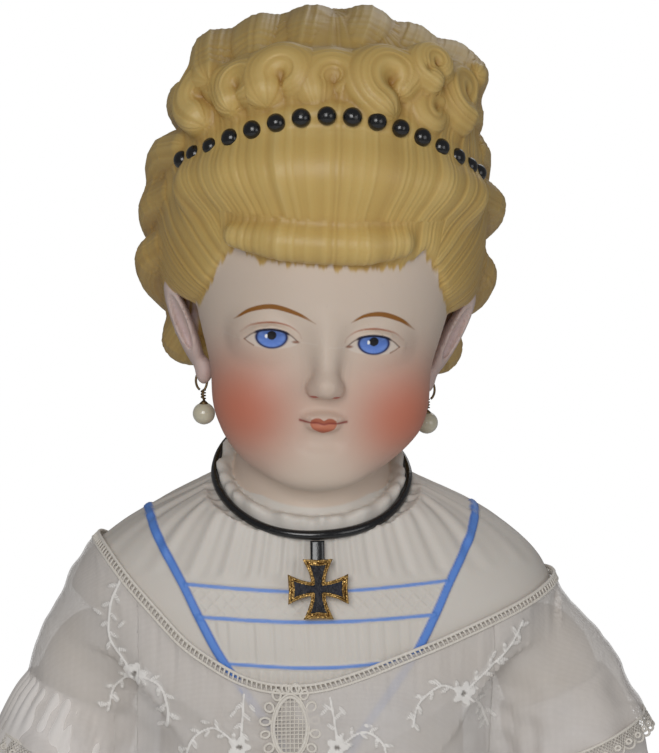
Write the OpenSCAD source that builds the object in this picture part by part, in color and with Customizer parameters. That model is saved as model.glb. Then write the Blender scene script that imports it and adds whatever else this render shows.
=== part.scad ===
/* [Head and shoulder plate] */
// Height of the whole doll from the hem to the top of the hair
total_h = 560; // [556:1:564]
// Thickness of the bisque shell
bisque_wall = 4; // [3:0.5:5]
// Sideways tilt of the head, in degrees towards the doll's left
head_tilt = 3; // [0:0.5:4]
// Width of one cabochon in the hair band
bead_d = 3.6; // [3:0.1:4]
// Number of cabochons in the hair band
bead_count = 16; // [12:1:18]
// Width of the black ribbon round the collar
ribbon_w = 1.6; // [1.2:0.1:2]
// Width of the cross from arm tip to arm tip
cross_w = 12; // [9:0.5:14]
// Diameter of an earring's pearl
pearl_d = 4.5; // [4:0.1:5]
// Diameter of the ear wire
wire_d = 0.7; // [0.6:0.05:0.8]

/* [Body] */
// Sideways distance from the middle to a shoulder joint
shoulder_x = 46; // [46:0.5:47]
// Height of the shoulder joints
shoulder_z = 428; // [427:0.5:428]
// Outward lean of the upper arms
arm_lean = 22; // [20:1:26]
// Distance from shoulder joint to elbow joint
upper_arm_l = 85; // [80:1:90]
// Sideways distance from the middle to a hip joint
hip_x = 17.5; // [17:0.5:18]
// Height of the hip joints
hip_z = 296; // [294:1:296]
// Height of the knee joints
knee_z = 154; // [150:1:158]
// Gap between the soles and the surface that the skirt stands on
sole_gap = 0.4; // [0.2:0.1:1]

/* [Dress] */
// Outer radius of the skirt's hem
hem_r = 146; // [144:1:148]
// Height of the lace edging under the skirt
lace_h = 14; // [10:1:18]
// Thickness of the skirt's gathered cloth
cloth_t = 1.6; // [1.2:0.1:2]
// Height of the neckline at the front
neckline_z = 427; // [427:0.5:428]
// Number of buttons down the back
button_count = 5; // [4:1:6]

/* [Hidden] */
$fn = 48;

skin = [0.87, 0.80, 0.73];
white_bisque = [0.86, 0.84, 0.80];
muslin = [0.88, 0.84, 0.75];
lawn = [0.93, 0.91, 0.89];
black = [0.05, 0.05, 0.06];
gold = [0.62, 0.50, 0.24];
bronze = [0.40, 0.29, 0.16];
cream = [0.93, 0.89, 0.80];
thread = [0.80, 0.76, 0.66];

ring_n = 36;
neck_z = 466;
pendant_top = [0, -22.4, 455.4];
pendant_lean = -18;
tilt_fade = 12;
lobe_x = 22.4;
lobe_y = 2;
lobe_z = 485;
lobe_r = 2.6;
lobe_t = 2.2;
wire_play = 0.06;
wire_bend = 1.6;
loop_drop = 6.2;
elbow_ball_r = 9;
shoulder_ball_r = 11.5;
hip_ball_r = 13.5;
knee_ball_r = 10.5;
joint_gap = 0.7;
forearm_turn = [13.3, 18.7];
forearm_l = 64;

// Rows are [height, half width, front, back, lift of the row's sides]
plate_rows = [
    [412, 47.5, -25.5, 23, 31], [424, 47.8, -26.5, 24, 19], [436, 48.2, -26, 24, 8.5],
    [443, 48.6, -24.5, 23, 2.5], [448.5, 46, -22.8, 21.5, 0], [452, 43, -21.5, 20.5, 0],
    [456, 38, -20.3, 19.6, 0], [459.5, 32, -19.8, 19, 0], [462, 26.5, -20.5, 19.5, 0],
    [465, 22.4, -21, 19.5, 0], [466.5, 19, -19.5, 17.5, 0]
];
head_rows = [
    [469, 18, -23.5, 15.5, 0], [472, 18, -27, 13, 0], [476, 19, -28.5, 12, 0],
    [482, 21, -29.5, 12, 0], [488, 24.5, -30, 16, 0], [494, 29, -30, 28, 0],
    [500, 32.8, -29.5, 36.5, 0], [508, 35.4, -29.5, 37, 0], [516, 36.6, -30.5, 37, 0],
    [524, 36.2, -31.5, 36.5, 0], [532, 33.5, -31, 36, 0], [540, 30.5, -28.5, 35, 0],
    [547, 27, -24, 33, 0], [553, 21.5, -18, 28, 0], [557, 14, -12, 20, 0]
];
torso_rows = [
    [312, 29, -16, 18, 0], [318, 31.5, -18.5, 21, 0], [330, 29.5, -17.5, 19, 0],
    [345, 25, -15, 15, 0], [365, 27.5, -17, 15.5, 0], [385, 30.2, -19, 16.5, 0],
    [405, 31.3, -20.3, 17.5, 0], [422, 31.2, -20.3, 17.5, 0], [432, 28.5, -17.5, 15.5, 0],
    [437, 22, -12.5, 11, 0]
];
bodice_rows = [
    [354.3, 28.6, -18, 17, 0], [368, 30.4, -20.8, 18, 0], [385, 32.3, -24.5, 19.5, 0],
    [400, 33.3, -28, 22, 0], [412, 33.6, -29.6, 26.5, 0], [419, 33.6, -29.8, 27.6, 0],
    [neckline_z, 33.6, -29.8, 27.8, 6]
];
skirt_rows = [
    [lace_h, hem_r - 1, -hem_r + 1, hem_r - 1, 0], [50, 138, -138, 138, 0], [100, 128, -128, 128, 0],
    [160, 114, -113, 113, 0], [220, 99, -97, 97, 0], [270, 84, -80, 80, 0], [300, 72, -66, 66, 0],
    [325, 57, -50, 50, 0], [335, 47, -39, 39, 0], [341, 38, -28, 28, 0], [344.5, 31, -20.5, 20, 0]
];

// Power of a value's size with the value's sign
function signed_pow(v, p) = sign(v) * pow(abs(v), p);

// Turns a point sideways about the neck, fully above it and not at all below it
function tilted(p) =
    let (a = head_tilt * max(0, min(1, (p[2] - neck_z) / tilt_fade)))
    [p[0] * cos(a) + (p[2] - neck_z) * sin(a), p[1], neck_z + (p[2] - neck_z) * cos(a) - p[0] * sin(a)];

// One point of a row at an angle, moved inwards by inset; squareness 2 is an ellipse
function row_point(row, angle, inset, squareness) =
    let (half_y = (row[3] - row[2]) / 2, mid_y = (row[2] + row[3]) / 2, p = 2 / squareness)
    [
        (row[1] - inset) * signed_pow(cos(angle), p),
        mid_y + (half_y - inset) * signed_pow(sin(angle), p),
        row[0] + row[4] * (1 - pow(sin(angle), 8))
    ];

function ring(row, inset = 0, squareness = 2, n = ring_n) =
    [for (i = [0 : n - 1]) row_point(row, 360 * i / n, inset, squareness)];

function rings(rows, inset = 0, squareness = 2, n = ring_n) =
    [for (row = rows) each ring(row, inset, squareness, n)];

// Triangles between neighbouring rings of n points, turned inside out for an inner skin
function wall_faces(first, count, n, inward = false) =
    [for (r = [0 : count - 2], i = [0 : n - 1])
        let (
            a = first + r * n + i,
            b = first + r * n + (i + 1) % n,
            c = b + n,
            d = a + n
        )
        each inward ? [[a, b, c], [a, c, d]] : [[a, c, b], [a, d, c]]
    ];

// Triangles from one ring to a single point
function fan_faces(first, tip, n, upward) =
    [for (i = [0 : n - 1])
        let (a = first + i, b = first + (i + 1) % n)
        upward ? [a, tip, b] : [a, b, tip]
    ];

// Triangles that join an outer ring to an inner one
function rim_faces(outer, inner, n, upward) =
    [for (i = [0 : n - 1])
        let (
            a = outer + i,
            b = outer + (i + 1) % n,
            c = inner + (i + 1) % n,
            d = inner + i
        )
        each upward ? [[a, c, b], [a, d, c]] : [[a, b, c], [a, c, d]]
    ];

function mean_point(rows, at, z) = [0, (rows[at][2] + rows[at][3]) / 2, z];

// Open-ended shell between the rows and the same rows moved inwards
module row_tube(rows, wall, squareness = 2, n = ring_n) {
    k = len(rows);
    polyhedron(
        points = concat(rings(rows, 0, squareness, n), rings(rows, wall, squareness, n)),
        faces = concat(
            wall_faces(0, k, n),
            wall_faces(k * n, k, n, true),
            rim_faces(0, k * n, n, false),
            rim_faces((k - 1) * n, (2 * k - 1) * n, n, true)
        ),
        convexity = 6
    );
}

// Closed solid through the rows
module row_solid(rows, inset = 0, squareness = 2, n = ring_n) {
    k = len(rows);
    low = mean_point(rows, 0, rows[0][0] + inset);
    high = mean_point(rows, k - 1, rows[k - 1][0] - inset);
    ends = [for (i = [0 : k - 1])
        [rows[i][0] + (i == 0 ? inset : i == k - 1 ? -inset : 0), rows[i][1], rows[i][2], rows[i][3], 0]
    ];
    polyhedron(
        points = concat(rings(ends, inset, squareness, n), [low, high]),
        faces = concat(
            wall_faces(0, k, n),
            fan_faces(0, k * n, n, false),
            fan_faces((k - 1) * n, k * n + 1, n, true)
        ),
        convexity = 4
    );
}

// Points of a limb's half outline: a ball at the joint, then [distance, radius] pairs
function limb_outline(ball_r, stations) = concat(
    [for (a = [-90 : 15 : 0]) [ball_r * cos(a), ball_r * sin(a)]],
    [for (s = stations) [s[1], s[0]]],
    [[0, stations[len(stations) - 1][0]]]
);

// Solid of revolution that starts with a ball at the origin and runs along +Z
module limb(ball_r, stations) {
    rotate_extrude() polygon(limb_outline(ball_r, stations));
}

// Thin tube of revolution through [distance, outer radius] pairs along +Z
module cloth_tube(stations, wall) {
    k = len(stations);
    rotate_extrude() polygon(concat(
        [for (s = stations) [s[1], s[0]]],
        [for (i = [k - 1 : -1 : 0]) [stations[i][1] - wall, stations[i][0]]]
    ));
}

// Places children whose +Z runs down an upper arm; side is 1 for the doll's left
module on_upper_arm(side) {
    translate([side * shoulder_x, 0, shoulder_z]) rotate([0, side * (180 - arm_lean), 0]) children();
}

function elbow_at(side) = [
    side * (shoulder_x + upper_arm_l * sin(arm_lean)),
    0,
    shoulder_z - upper_arm_l * cos(arm_lean)
];

// Places children whose +Z runs down a forearm
module on_forearm(side) {
    translate(elbow_at(side)) rotate([-forearm_turn[0], 0, 0]) rotate([0, side * (180 - forearm_turn[1]), 0])
        children();
}

module on_leg(side, z) {
    translate([side * hip_x, 0, z]) rotate([180, 0, 0]) children();
}

function bead_angle(i) = -74 + 148 * i / (bead_count - 1);

function bead_at(i) =
    let (a = bead_angle(i))
    tilted([31 * sin(a), 2.5 - 31.6 * cos(a), 542 - 15 * pow(sin(a), 2)]);

function lobe_at(side) = tilted([side * lobe_x, lobe_y, lobe_z]);

// Ear with a pierced lobe
module ear(side) {
    difference() {
        hull() {
            translate(lobe_at(side)) rotate([0, 90, 0]) cylinder(r = lobe_r, h = lobe_t, center = true);
            translate(tilted([side * 30, 4, 500])) sphere(r = 3.2, $fn = 20);
            translate(tilted([side * 24.5, 3, 491])) sphere(r = 3, $fn = 20);
        }
        translate(lobe_at(side)) rotate([0, 90, 0]) cylinder(r = lobe_r - 0.4, h = 12, center = true);
    }
    translate(lobe_at(side)) rotate([0, 90, 0]) rotate_extrude()
        translate([wire_d / 2 + wire_play, -lobe_t / 2]) square([lobe_r - wire_d / 2 - wire_play, lobe_t]);
}

module shoulder_head() {
    rows = concat(plate_rows, head_rows);
    k = len(rows);
    n = ring_n;
    outer = [for (p = rings(rows)) tilted(p)];
    inner = [for (p = rings(rows, bisque_wall)) tilted([p[0], p[1], p[2] - (p[2] > 545 ? 2 : 0)])];
    color(skin) difference() {
        union() {
            polyhedron(
                points = concat(outer, inner, [tilted([0, 3.5, total_h]), tilted([0, 3.5, total_h - 5])]),
                faces = concat(
                    wall_faces(0, k, n),
                    wall_faces(k * n, k, n, true),
                    rim_faces(0, k * n, n, false),
                    fan_faces((k - 1) * n, 2 * k * n, n, true),
                    [for (f = fan_faces((2 * k - 1) * n, 2 * k * n + 1, n, true)) [f[2], f[1], f[0]]]
                ),
                convexity = 8
            );
            for (side = [-1, 1]) ear(side);
        }
        for (side = [-1, 1]) stitch_place(side) cylinder(r = 0.9, h = 14, center = true);
    }
}

// Places children along the four sewing holes' axes, two in front and two behind
module stitch_place(side) {
    for (y = [-24, 21.5]) translate([side * 6, y, 419]) rotate([90, 0, 0]) children();
}

module plate_stitches() {
    color(thread) for (side = [-1, 1]) stitch_place(side) cylinder(r = 0.85, h = 8, center = true);
}

module hair_beads() {
    color(black) for (i = [0 : bead_count - 1]) translate(bead_at(i)) sphere(d = bead_d, $fn = 24);
}

// Half width, front and back of the bisque at a height
function bisque_at(z) = [for (k = [1 : 3]) lookup(z, [for (row = concat(plate_rows, head_rows)) [row[0], row[k]]])];

// Ribbon ring that lies on the bisque and slopes down to the front
module choker_ribbon() {
    n = ring_n;
    function edge(grow, up) = [for (i = [0 : n - 1])
        let (a = 360 * i / n, z = 465.3 + 8.5 * sin(a), at = bisque_at(z - ribbon_w / 2), g = 0.3 + grow)
        [(at[0] + g) * cos(a), (at[1] + at[2]) / 2 + ((at[2] - at[1]) / 2 + g) * sin(a), z + up]
    ];
    half = ribbon_w / 2;
    color(black) polyhedron(
        points = concat(edge(0.6, -half), edge(0.6, half), edge(0, -half), edge(0, half)),
        faces = concat(
            wall_faces(0, 2, n),
            wall_faces(2 * n, 2, n, true),
            rim_faces(0, 2 * n, n, false),
            rim_faces(n, 3 * n, n, true)
        ),
        convexity = 4
    );
}

module on_pendant() {
    translate(pendant_top) rotate([pendant_lean, 0, 0]) children();
}

module pendant_strap() {
    color(black) on_pendant() translate([-1.3, -0.4, -4]) cube([2.6, 0.8, 5]);
}

// Outline of a flared cross, arms widening towards their tips
module cross_outline(w) {
    half = w / 2;
    for (a = [0 : 90 : 270]) rotate(a)
        polygon([[0, 0], [half * 0.16, half * 0.16], [half * 0.5, half], [-half * 0.5, half], [-half * 0.16, half * 0.16]]);
}

module cross_pendant() {
    color(gold) on_pendant() translate([0, 0, -4 - cross_w / 2]) rotate([90, 0, 0]) difference() {
        translate([0, 0, -0.7]) linear_extrude(1.4) cross_outline(cross_w);
        translate([0, 0, 0.2]) linear_extrude(2) cross_outline(cross_w * 0.72);
    }
}

module cross_inlay() {
    color(black) on_pendant() translate([0, 0, -4 - cross_w / 2]) rotate([90, 0, 0])
        translate([0, 0, 0.2]) linear_extrude(0.7) cross_outline(cross_w * 0.7);
}

// Wire that crosses the lobe along X, turns down outside it and comes back under it to the pearl
module ear_wire(side) {
    under = 2 * wire_bend;
    color(bronze) translate(lobe_at(side)) mirror([side > 0 ? 0 : 1, 0, 0]) {
        translate([-wire_bend, 0, 0]) rotate([0, 90, 0]) cylinder(d = wire_d, h = 2 * wire_bend, $fn = 24);
        translate([wire_bend, 0, -wire_bend]) rotate([90, 0, 0])
            rotate_extrude(angle = 90) translate([wire_bend, 0]) circle(d = wire_d, $fn = 24);
        translate([under, 0, under - loop_drop]) cylinder(d = wire_d, h = loop_drop - under - wire_bend, $fn = 24);
        translate([0, 0, under - loop_drop]) rotate([90, 0, 0]) rotate([0, 0, -90])
            rotate_extrude(angle = 90) translate([under, 0]) circle(d = wire_d, $fn = 24);
    }
}

module pearl(side) {
    color(cream) translate(lobe_at(side) + [0, 0, -loop_drop - wire_d / 2 - pearl_d / 2 + 0.05]) sphere(d = pearl_d);
}

module torso_cover() {
    color(muslin) difference() {
        row_solid(torso_rows, 0, 2.4);
        row_solid(torso_rows, 1, 2.4);
    }
}

module torso_stuffing() {
    color(cream) row_solid(torso_rows, 1.05, 2.4);
}

module upper_arm(side) {
    end = upper_arm_l - elbow_ball_r - joint_gap;
    color(muslin) on_upper_arm(side)
        limb(shoulder_ball_r, [[14, 11], [34, 11.2], [58, 9.8], [end - 1.5, 8.6], [end, 7]]);
}

module elbow(side) {
    color(muslin) on_forearm(side) limb(elbow_ball_r, [[8, 8.8], [15.5, 8]]);
}

// Bisque lower arm with a shallow groove for the binding, and a closed hand with a thumb
module forearm(side) {
    color(skin) on_forearm(side) {
        rotate_extrude() polygon([
            [0, 15.6], [7.6, 15.6], [7.6, 18], [6.8, 18.4], [6.8, 20.2], [7.6, 20.6],
            [7.4, 32], [5.6, 50], [4.6, forearm_l - 4], [4.8, forearm_l], [0, forearm_l]
        ]);
        hull() {
            translate([0, 0, forearm_l]) sphere(r = 4.4, $fn = 20);
            translate([side * 1, -1, forearm_l + 12]) sphere(r = 4.6, $fn = 20);
            translate([side * -1, -3, forearm_l + 13]) sphere(r = 3.4, $fn = 20);
        }
        hull() {
            translate([side * 1.5, -1, forearm_l + 12]) sphere(r = 3, $fn = 16);
            translate([side * 1, 1, forearm_l + 27]) sphere(r = 2, $fn = 16);
            translate([side * -1.5, -2, forearm_l + 25]) sphere(r = 2, $fn = 16);
        }
        hull() {
            translate([0, -4, forearm_l + 3]) sphere(r = 2.6, $fn = 16);
            translate([side * -3, -8, forearm_l + 13]) sphere(r = 1.7, $fn = 16);
        }
    }
}

module arm_binding(side) {
    color(thread) on_forearm(side) translate([0, 0, 19.3]) rotate_extrude() translate([7.5, 0]) circle(r = 0.65, $fn = 24);
}

module thigh(side) {
    end = hip_z - knee_z - knee_ball_r - joint_gap;
    color(muslin) on_leg(side, hip_z) limb(hip_ball_r, [[40, 12.8], [90, 11.2], [end - 3, 10], [end, 8]]);
}

module calf(side) {
    color(muslin) on_leg(side, knee_z) limb(knee_ball_r, [[20, 10.6], [40, 9.6]]);
}

// Bisque lower leg with a binding groove and a moulded heeled boot
module lower_leg(side) {
    top = knee_z - 40.2;
    color(skin) {
        translate([side * hip_x, 0, 0]) rotate_extrude() polygon([
            [0, 30], [6.6, 30], [6.8, 48], [9, 80], [9.2, top - 5.5], [8.3, top - 5], [8.3, top - 3], [9.2, top - 2.5],
            [9.2, top], [0, top]
        ]);
        hull() {
            translate([side * hip_x, 0, 32]) cylinder(r = 6.6, h = 2);
            translate([side * hip_x, 3, 14]) cylinder(r = 7.4, h = 2, $fn = 32);
            translate([side * hip_x, -19, 6]) cylinder(r = 7.6, h = 3, $fn = 32);
        }
        hull() {
            translate([side * hip_x, 3, 12]) cylinder(r = 7.4, h = 2, $fn = 32);
            translate([side * hip_x, -21, sole_gap]) cylinder(r = 7.8, h = 7, $fn = 32);
            translate([side * hip_x, -8, sole_gap + 2]) cylinder(r = 6, h = 4, $fn = 32);
        }
        translate([side * hip_x, 4, sole_gap]) cylinder(r = 6, h = 14);
    }
}

module leg_binding(side) {
    color(thread) translate([side * hip_x, 0, knee_z - 44.2]) rotate_extrude() translate([9, 0]) circle(r = 0.65, $fn = 24);
}

module dress_bodice() {
    color(lawn) row_tube(bodice_rows, 1.2, 3);
}

// Band that lies on the plate along the neckline, from the front up over the shoulders
module neckline_trim() {
    n = ring_n;
    function lift(a) = 1 - pow(sin(a), 8);
    function edge(grow, z, rise) = [for (i = [0 : n - 1])
        let (a = 360 * i / n)
        [(49.2 + grow) * cos(a), -1.5 + (26.3 + grow) * sin(a), z + rise * lift(a)]
    ];
    color(lawn) polyhedron(
        points = concat(
            edge(0.8, neckline_z + 0.3, 16.4), edge(0.8, neckline_z + 5.5, 16.4),
            edge(0, neckline_z + 0.3, 16.4), edge(0, neckline_z + 5.5, 16.4)
        ),
        faces = concat(
            wall_faces(0, 2, n),
            wall_faces(2 * n, 2, n, true),
            rim_faces(0, 2 * n, n, false),
            rim_faces(n, 3 * n, n, true)
        ),
        convexity = 4
    );
}

// Oval net insert with a ring of eyelets
module neck_medallion() {
    color(lawn) translate([-2, -30.4, 418]) rotate([90, 0, 0]) linear_extrude(0.7, center = true) difference() {
        hull() for (s = [-1, 1]) translate([0, s * 2.8]) circle(r = 5.4, $fn = 40);
        hull() for (s = [-1, 1]) translate([0, s * 2.4]) circle(r = 3, $fn = 32);
        for (a = [0 : 30 : 330]) translate([4.2 * cos(a), 6.8 * sin(a)]) circle(r = 0.6, $fn = 16);
    }
}

module back_buttons() {
    color(cream) for (i = [0 : button_count - 1]) translate([0, bodice_back(i), 362 + i * 12]) rotate([-90, 0, 0])
        cylinder(r = 2.2, h = 1.2, $fn = 32);
}

// Front face of a button, just behind the bodice's back at its height
function bodice_back(i) = lookup(362 + i * 12 + 2.2, [for (row = bodice_rows) [row[0], row[3]]]) + 0.05;

module sleeve(side) {
    color(lawn) on_upper_arm(side)
        cloth_tube([[8, 13.4], [20, 14], [45, 13.6], [64, 12.8], [70, 14.5], [80, 19]], 0.8);
}

module sleeve_cap(side) {
    color(lawn) on_upper_arm(side) cloth_tube([[6.5, 14.7], [16, 15.8], [34, 17]], 0.6);
}

module waistband() {
    color(lawn) row_tube([[345, 27.6, -17.6, 16.8, 0], [354, 28.2, -18, 17, 0]], 0.9, 2.4);
}

module dress_skirt() {
    color(lawn) row_tube(skirt_rows, cloth_t, 2, 48);
}

module hem_lace() {
    color(lawn) rotate_extrude($fn = 96)
        polygon([[hem_r - cloth_t, 0], [hem_r, 0], [hem_r - 1, lace_h], [hem_r - 1 - cloth_t, lace_h]]);
}

function petticoat_row(row) = [max(row[0] - 5, 8), row[1] - 4.2, row[2] + 4.2, row[3] - 4.2, 0];

module petticoat() {
    color(lawn) row_tube([for (i = [0 : len(skirt_rows) - 3]) petticoat_row(skirt_rows[i])], 0.8);
}

module drawers(side) {
    color(lawn) on_leg(side, hip_z) cloth_tube([[4, 14.4], [60, 15.4], [110, 16], [128, 17.5]], 0.7);
}

shoulder_head();
hair_beads();
choker_ribbon();
pendant_strap();
cross_pendant();
cross_inlay();
ear_wire(1);  // ear_wire_left
ear_wire(-1);  // ear_wire_right
pearl(1);  // pearl_left
pearl(-1);  // pearl_right
torso_cover();
torso_stuffing();
plate_stitches();
upper_arm(1);  // upper_arm_left
upper_arm(-1);  // upper_arm_right
elbow(1);  // elbow_left
elbow(-1);  // elbow_right
forearm(1);  // forearm_left
forearm(-1);  // forearm_right
arm_binding(1);  // arm_binding_left
arm_binding(-1);  // arm_binding_right
thigh(1);  // thigh_left
thigh(-1);  // thigh_right
calf(1);  // calf_left
calf(-1);  // calf_right
lower_leg(1);  // lower_leg_left
lower_leg(-1);  // lower_leg_right
leg_binding(1);  // leg_binding_left
leg_binding(-1);  // leg_binding_right
dress_bodice();
neckline_trim();
neck_medallion();
back_buttons();
sleeve(1);  // sleeve_left
sleeve(-1);  // sleeve_right
sleeve_cap(1);  // sleeve_cap_left
sleeve_cap(-1);  // sleeve_cap_right
waistband();
dress_skirt();
hem_lace();
petticoat();
drawers(1);  // drawers_left
drawers(-1);  // drawers_right
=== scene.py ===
import math

import bmesh
import bpy
import numpy as np
import openvdb
from mathutils import Matrix, Vector


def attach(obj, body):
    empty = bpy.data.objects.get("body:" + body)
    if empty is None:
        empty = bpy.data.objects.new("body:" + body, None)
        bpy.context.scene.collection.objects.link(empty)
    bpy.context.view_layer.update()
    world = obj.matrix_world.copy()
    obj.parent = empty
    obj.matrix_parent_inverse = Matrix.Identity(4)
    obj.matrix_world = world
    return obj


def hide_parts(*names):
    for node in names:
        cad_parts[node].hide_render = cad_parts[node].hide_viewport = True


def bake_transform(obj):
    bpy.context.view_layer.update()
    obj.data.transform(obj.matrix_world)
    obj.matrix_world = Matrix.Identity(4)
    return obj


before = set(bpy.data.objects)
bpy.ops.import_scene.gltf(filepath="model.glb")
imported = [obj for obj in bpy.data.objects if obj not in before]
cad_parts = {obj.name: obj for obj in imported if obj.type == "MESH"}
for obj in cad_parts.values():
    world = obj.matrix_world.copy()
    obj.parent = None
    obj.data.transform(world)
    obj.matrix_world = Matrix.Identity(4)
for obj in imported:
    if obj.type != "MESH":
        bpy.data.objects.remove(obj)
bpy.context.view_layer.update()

MM = 0.001
RNG = np.random.default_rng(1871)

# ---------------------------------------------------------------- camera, light and floor

VIEW_AZIMUTH = math.radians(-3.3)
VIEW_ELEVATION = math.radians(10)
VIEW_DISTANCE = 1.5
VIEW_TARGET = Vector((0.0037, 0.0, 0.4851))
FRAME_WIDTH = 0.1318
SENSOR = 36.0
CLIP_NEAR = 0.05
CLIP_FAR = 20
# each lamp: name, place, size and power
LAMPS = [
    ("key", (-0.4, -1.7, 1.1), 0.9, 15.5),
    ("fill", (1.2, -1.3, 0.7), 0.9, 4.2),
    ("rim", (0.5, 1.3, 1.2), 0.8, 2.4),
]
LAMP_AIM = (0, 0, 0.45)
SKY_TINT = (0.97, 0.98, 1, 1)
SKY_STRENGTH = 0.17
FLOOR_SIDES = 96
FLOOR_RADIUS = 1.1
FLOOR_TONE = (0.82, 0.82, 0.81, 1)
FLOOR_ROUGHNESS = 0.9


def make_camera():
    data = bpy.data.cameras.new("camera")
    cam = bpy.data.objects.new("camera", data)
    bpy.context.collection.objects.link(cam)
    back = Vector((
        math.sin(VIEW_AZIMUTH) * math.cos(VIEW_ELEVATION),
        -math.cos(VIEW_AZIMUTH) * math.cos(VIEW_ELEVATION),
        math.sin(VIEW_ELEVATION),
    ))
    cam.location = VIEW_TARGET + back * VIEW_DISTANCE
    cam.rotation_mode = "QUATERNION"
    cam.rotation_quaternion = (-back).to_track_quat("-Z", "Y")
    data.sensor_fit = "HORIZONTAL"
    data.sensor_width = SENSOR
    data.lens = SENSOR * VIEW_DISTANCE / FRAME_WIDTH
    data.clip_start = CLIP_NEAR
    data.clip_end = CLIP_FAR
    bpy.context.scene.camera = cam


def make_area(name, place, size, power):
    data = bpy.data.lights.new(name, "AREA")
    data.size = size
    data.energy = power
    lamp = bpy.data.objects.new(name, data)
    bpy.context.collection.objects.link(lamp)
    lamp.location = place
    lamp.rotation_mode = "QUATERNION"
    lamp.rotation_quaternion = (Vector(LAMP_AIM) - Vector(place)).to_track_quat("-Z", "Y")


def make_world():
    world = bpy.data.worlds.new("studio")
    bpy.context.scene.world = world
    world.use_nodes = True
    nodes, links = world.node_tree.nodes, world.node_tree.links
    nodes.clear()
    out = nodes.new("ShaderNodeOutputWorld")
    mix = nodes.new("ShaderNodeMixShader")
    seen = nodes.new("ShaderNodeBackground")
    lit = nodes.new("ShaderNodeBackground")
    path = nodes.new("ShaderNodeLightPath")
    seen.inputs["Color"].default_value = (1, 1, 1, 1)
    seen.inputs["Strength"].default_value = 1.0
    lit.inputs["Color"].default_value = SKY_TINT
    lit.inputs["Strength"].default_value = SKY_STRENGTH
    links.new(path.outputs["Is Camera Ray"], mix.inputs[0])
    links.new(lit.outputs[0], mix.inputs[1])
    links.new(seen.outputs[0], mix.inputs[2])
    links.new(mix.outputs[0], out.inputs[0])


def make_stage():
    make_camera()
    make_world()
    for lamp in LAMPS:
        make_area(*lamp)
    scene = bpy.context.scene
    scene.view_settings.view_transform = "Standard"
    scene.view_settings.look = "None"
    mesh = bpy.data.meshes.new("floor")
    turns = [2 * math.pi * i / FLOOR_SIDES for i in range(FLOOR_SIDES)]
    ring = [(FLOOR_RADIUS * math.cos(a), FLOOR_RADIUS * math.sin(a), 0) for a in turns]
    mesh.from_pydata(ring, [], [list(range(FLOOR_SIDES))])
    floor = bpy.data.objects.new("floor", mesh)
    bpy.context.collection.objects.link(floor)
    mat = Look("floor_paper")
    mat.shader.inputs["Base Color"].default_value = FLOOR_TONE
    mat.shader.inputs["Roughness"].default_value = FLOOR_ROUGHNESS
    mesh.materials.append(mat.material)


# ---------------------------------------------------------------- material helper

class Look:
    """A material with short calls for its nodes."""

    def __init__(self, name):
        self.material = bpy.data.materials.new(name)
        self.material.use_nodes = True
        self.tree = self.material.node_tree
        self.shader = self.tree.nodes["Principled BSDF"]
        self.out = self.tree.nodes["Material Output"]

    def node(self, kind, **inputs):
        made = self.tree.nodes.new(kind)
        for key, value in inputs.items():
            name = key.replace("_", " ")
            if isinstance(value, bpy.types.NodeSocket):
                self.tree.links.new(value, made.inputs[name])
            else:
                made.inputs[name].default_value = value
        return made

    def link(self, output, socket):
        self.tree.links.new(output, socket)

    def math(self, operation, a, b=None, c=None, clamp=False):
        made = self.tree.nodes.new("ShaderNodeMath")
        made.operation = operation
        made.use_clamp = clamp
        for i, value in enumerate((a, b, c)):
            if value is None:
                continue
            if isinstance(value, bpy.types.NodeSocket):
                self.link(value, made.inputs[i])
            else:
                made.inputs[i].default_value = value
        return made.outputs[0]

    def mix(self, factor, a, b, mode="MIX"):
        made = self.tree.nodes.new("ShaderNodeMix")
        made.data_type = "RGBA"
        made.blend_type = mode
        for socket, value in ((made.inputs[0], factor), (made.inputs[6], a), (made.inputs[7], b)):
            if isinstance(value, bpy.types.NodeSocket):
                self.link(value, socket)
            elif isinstance(value, (int, float)):
                socket.default_value = value
            else:
                socket.default_value = (*value, 1) if len(value) == 3 else value
        return made.outputs[2]

    def coords(self):
        return self.tree.nodes.new("ShaderNodeTexCoord").outputs["Object"]

    def noise(self, scale, detail=4.0, rough=0.55, coords=None):
        made = self.node("ShaderNodeTexNoise", Scale=scale, Detail=detail, Roughness=rough)
        self.link(coords or self.coords(), made.inputs["Vector"])
        return made.outputs["Fac"]

    def weave(self, where, scale, distortion, detail):
        """Warp times weft: two crossed wave patterns."""
        waves = []
        for direction in ("X", "Z"):
            wave = self.node("ShaderNodeTexWave", Scale=scale, Distortion=distortion, Detail=detail,
                             Detail_Scale=2.0)
            wave.bands_direction = direction
            self.link(where, wave.inputs["Vector"])
            waves.append(wave.outputs["Fac"])
        return self.math("MULTIPLY", *waves)

    def attribute(self, name):
        made = self.tree.nodes.new("ShaderNodeAttribute")
        made.attribute_name = name
        return made

    def bump(self, height, strength, distance, below=None):
        made = self.tree.nodes.new("ShaderNodeBump")
        made.inputs["Strength"].default_value = strength
        made.inputs["Distance"].default_value = distance
        self.link(height, made.inputs["Height"])
        if below is not None:
            self.link(below, made.inputs["Normal"])
        return made.outputs["Normal"]

    def set(self, **values):
        for key, value in values.items():
            socket = self.shader.inputs[key.replace("_", " ")]
            if isinstance(value, bpy.types.NodeSocket):
                self.link(value, socket)
            elif isinstance(value, tuple) and len(value) == 3 and len(socket.default_value) == 4:
                socket.default_value = (*value, 1)
            else:
                socket.default_value = value
        return self


# ---------------------------------------------------------------- clay: shapes as signed distances

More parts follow.
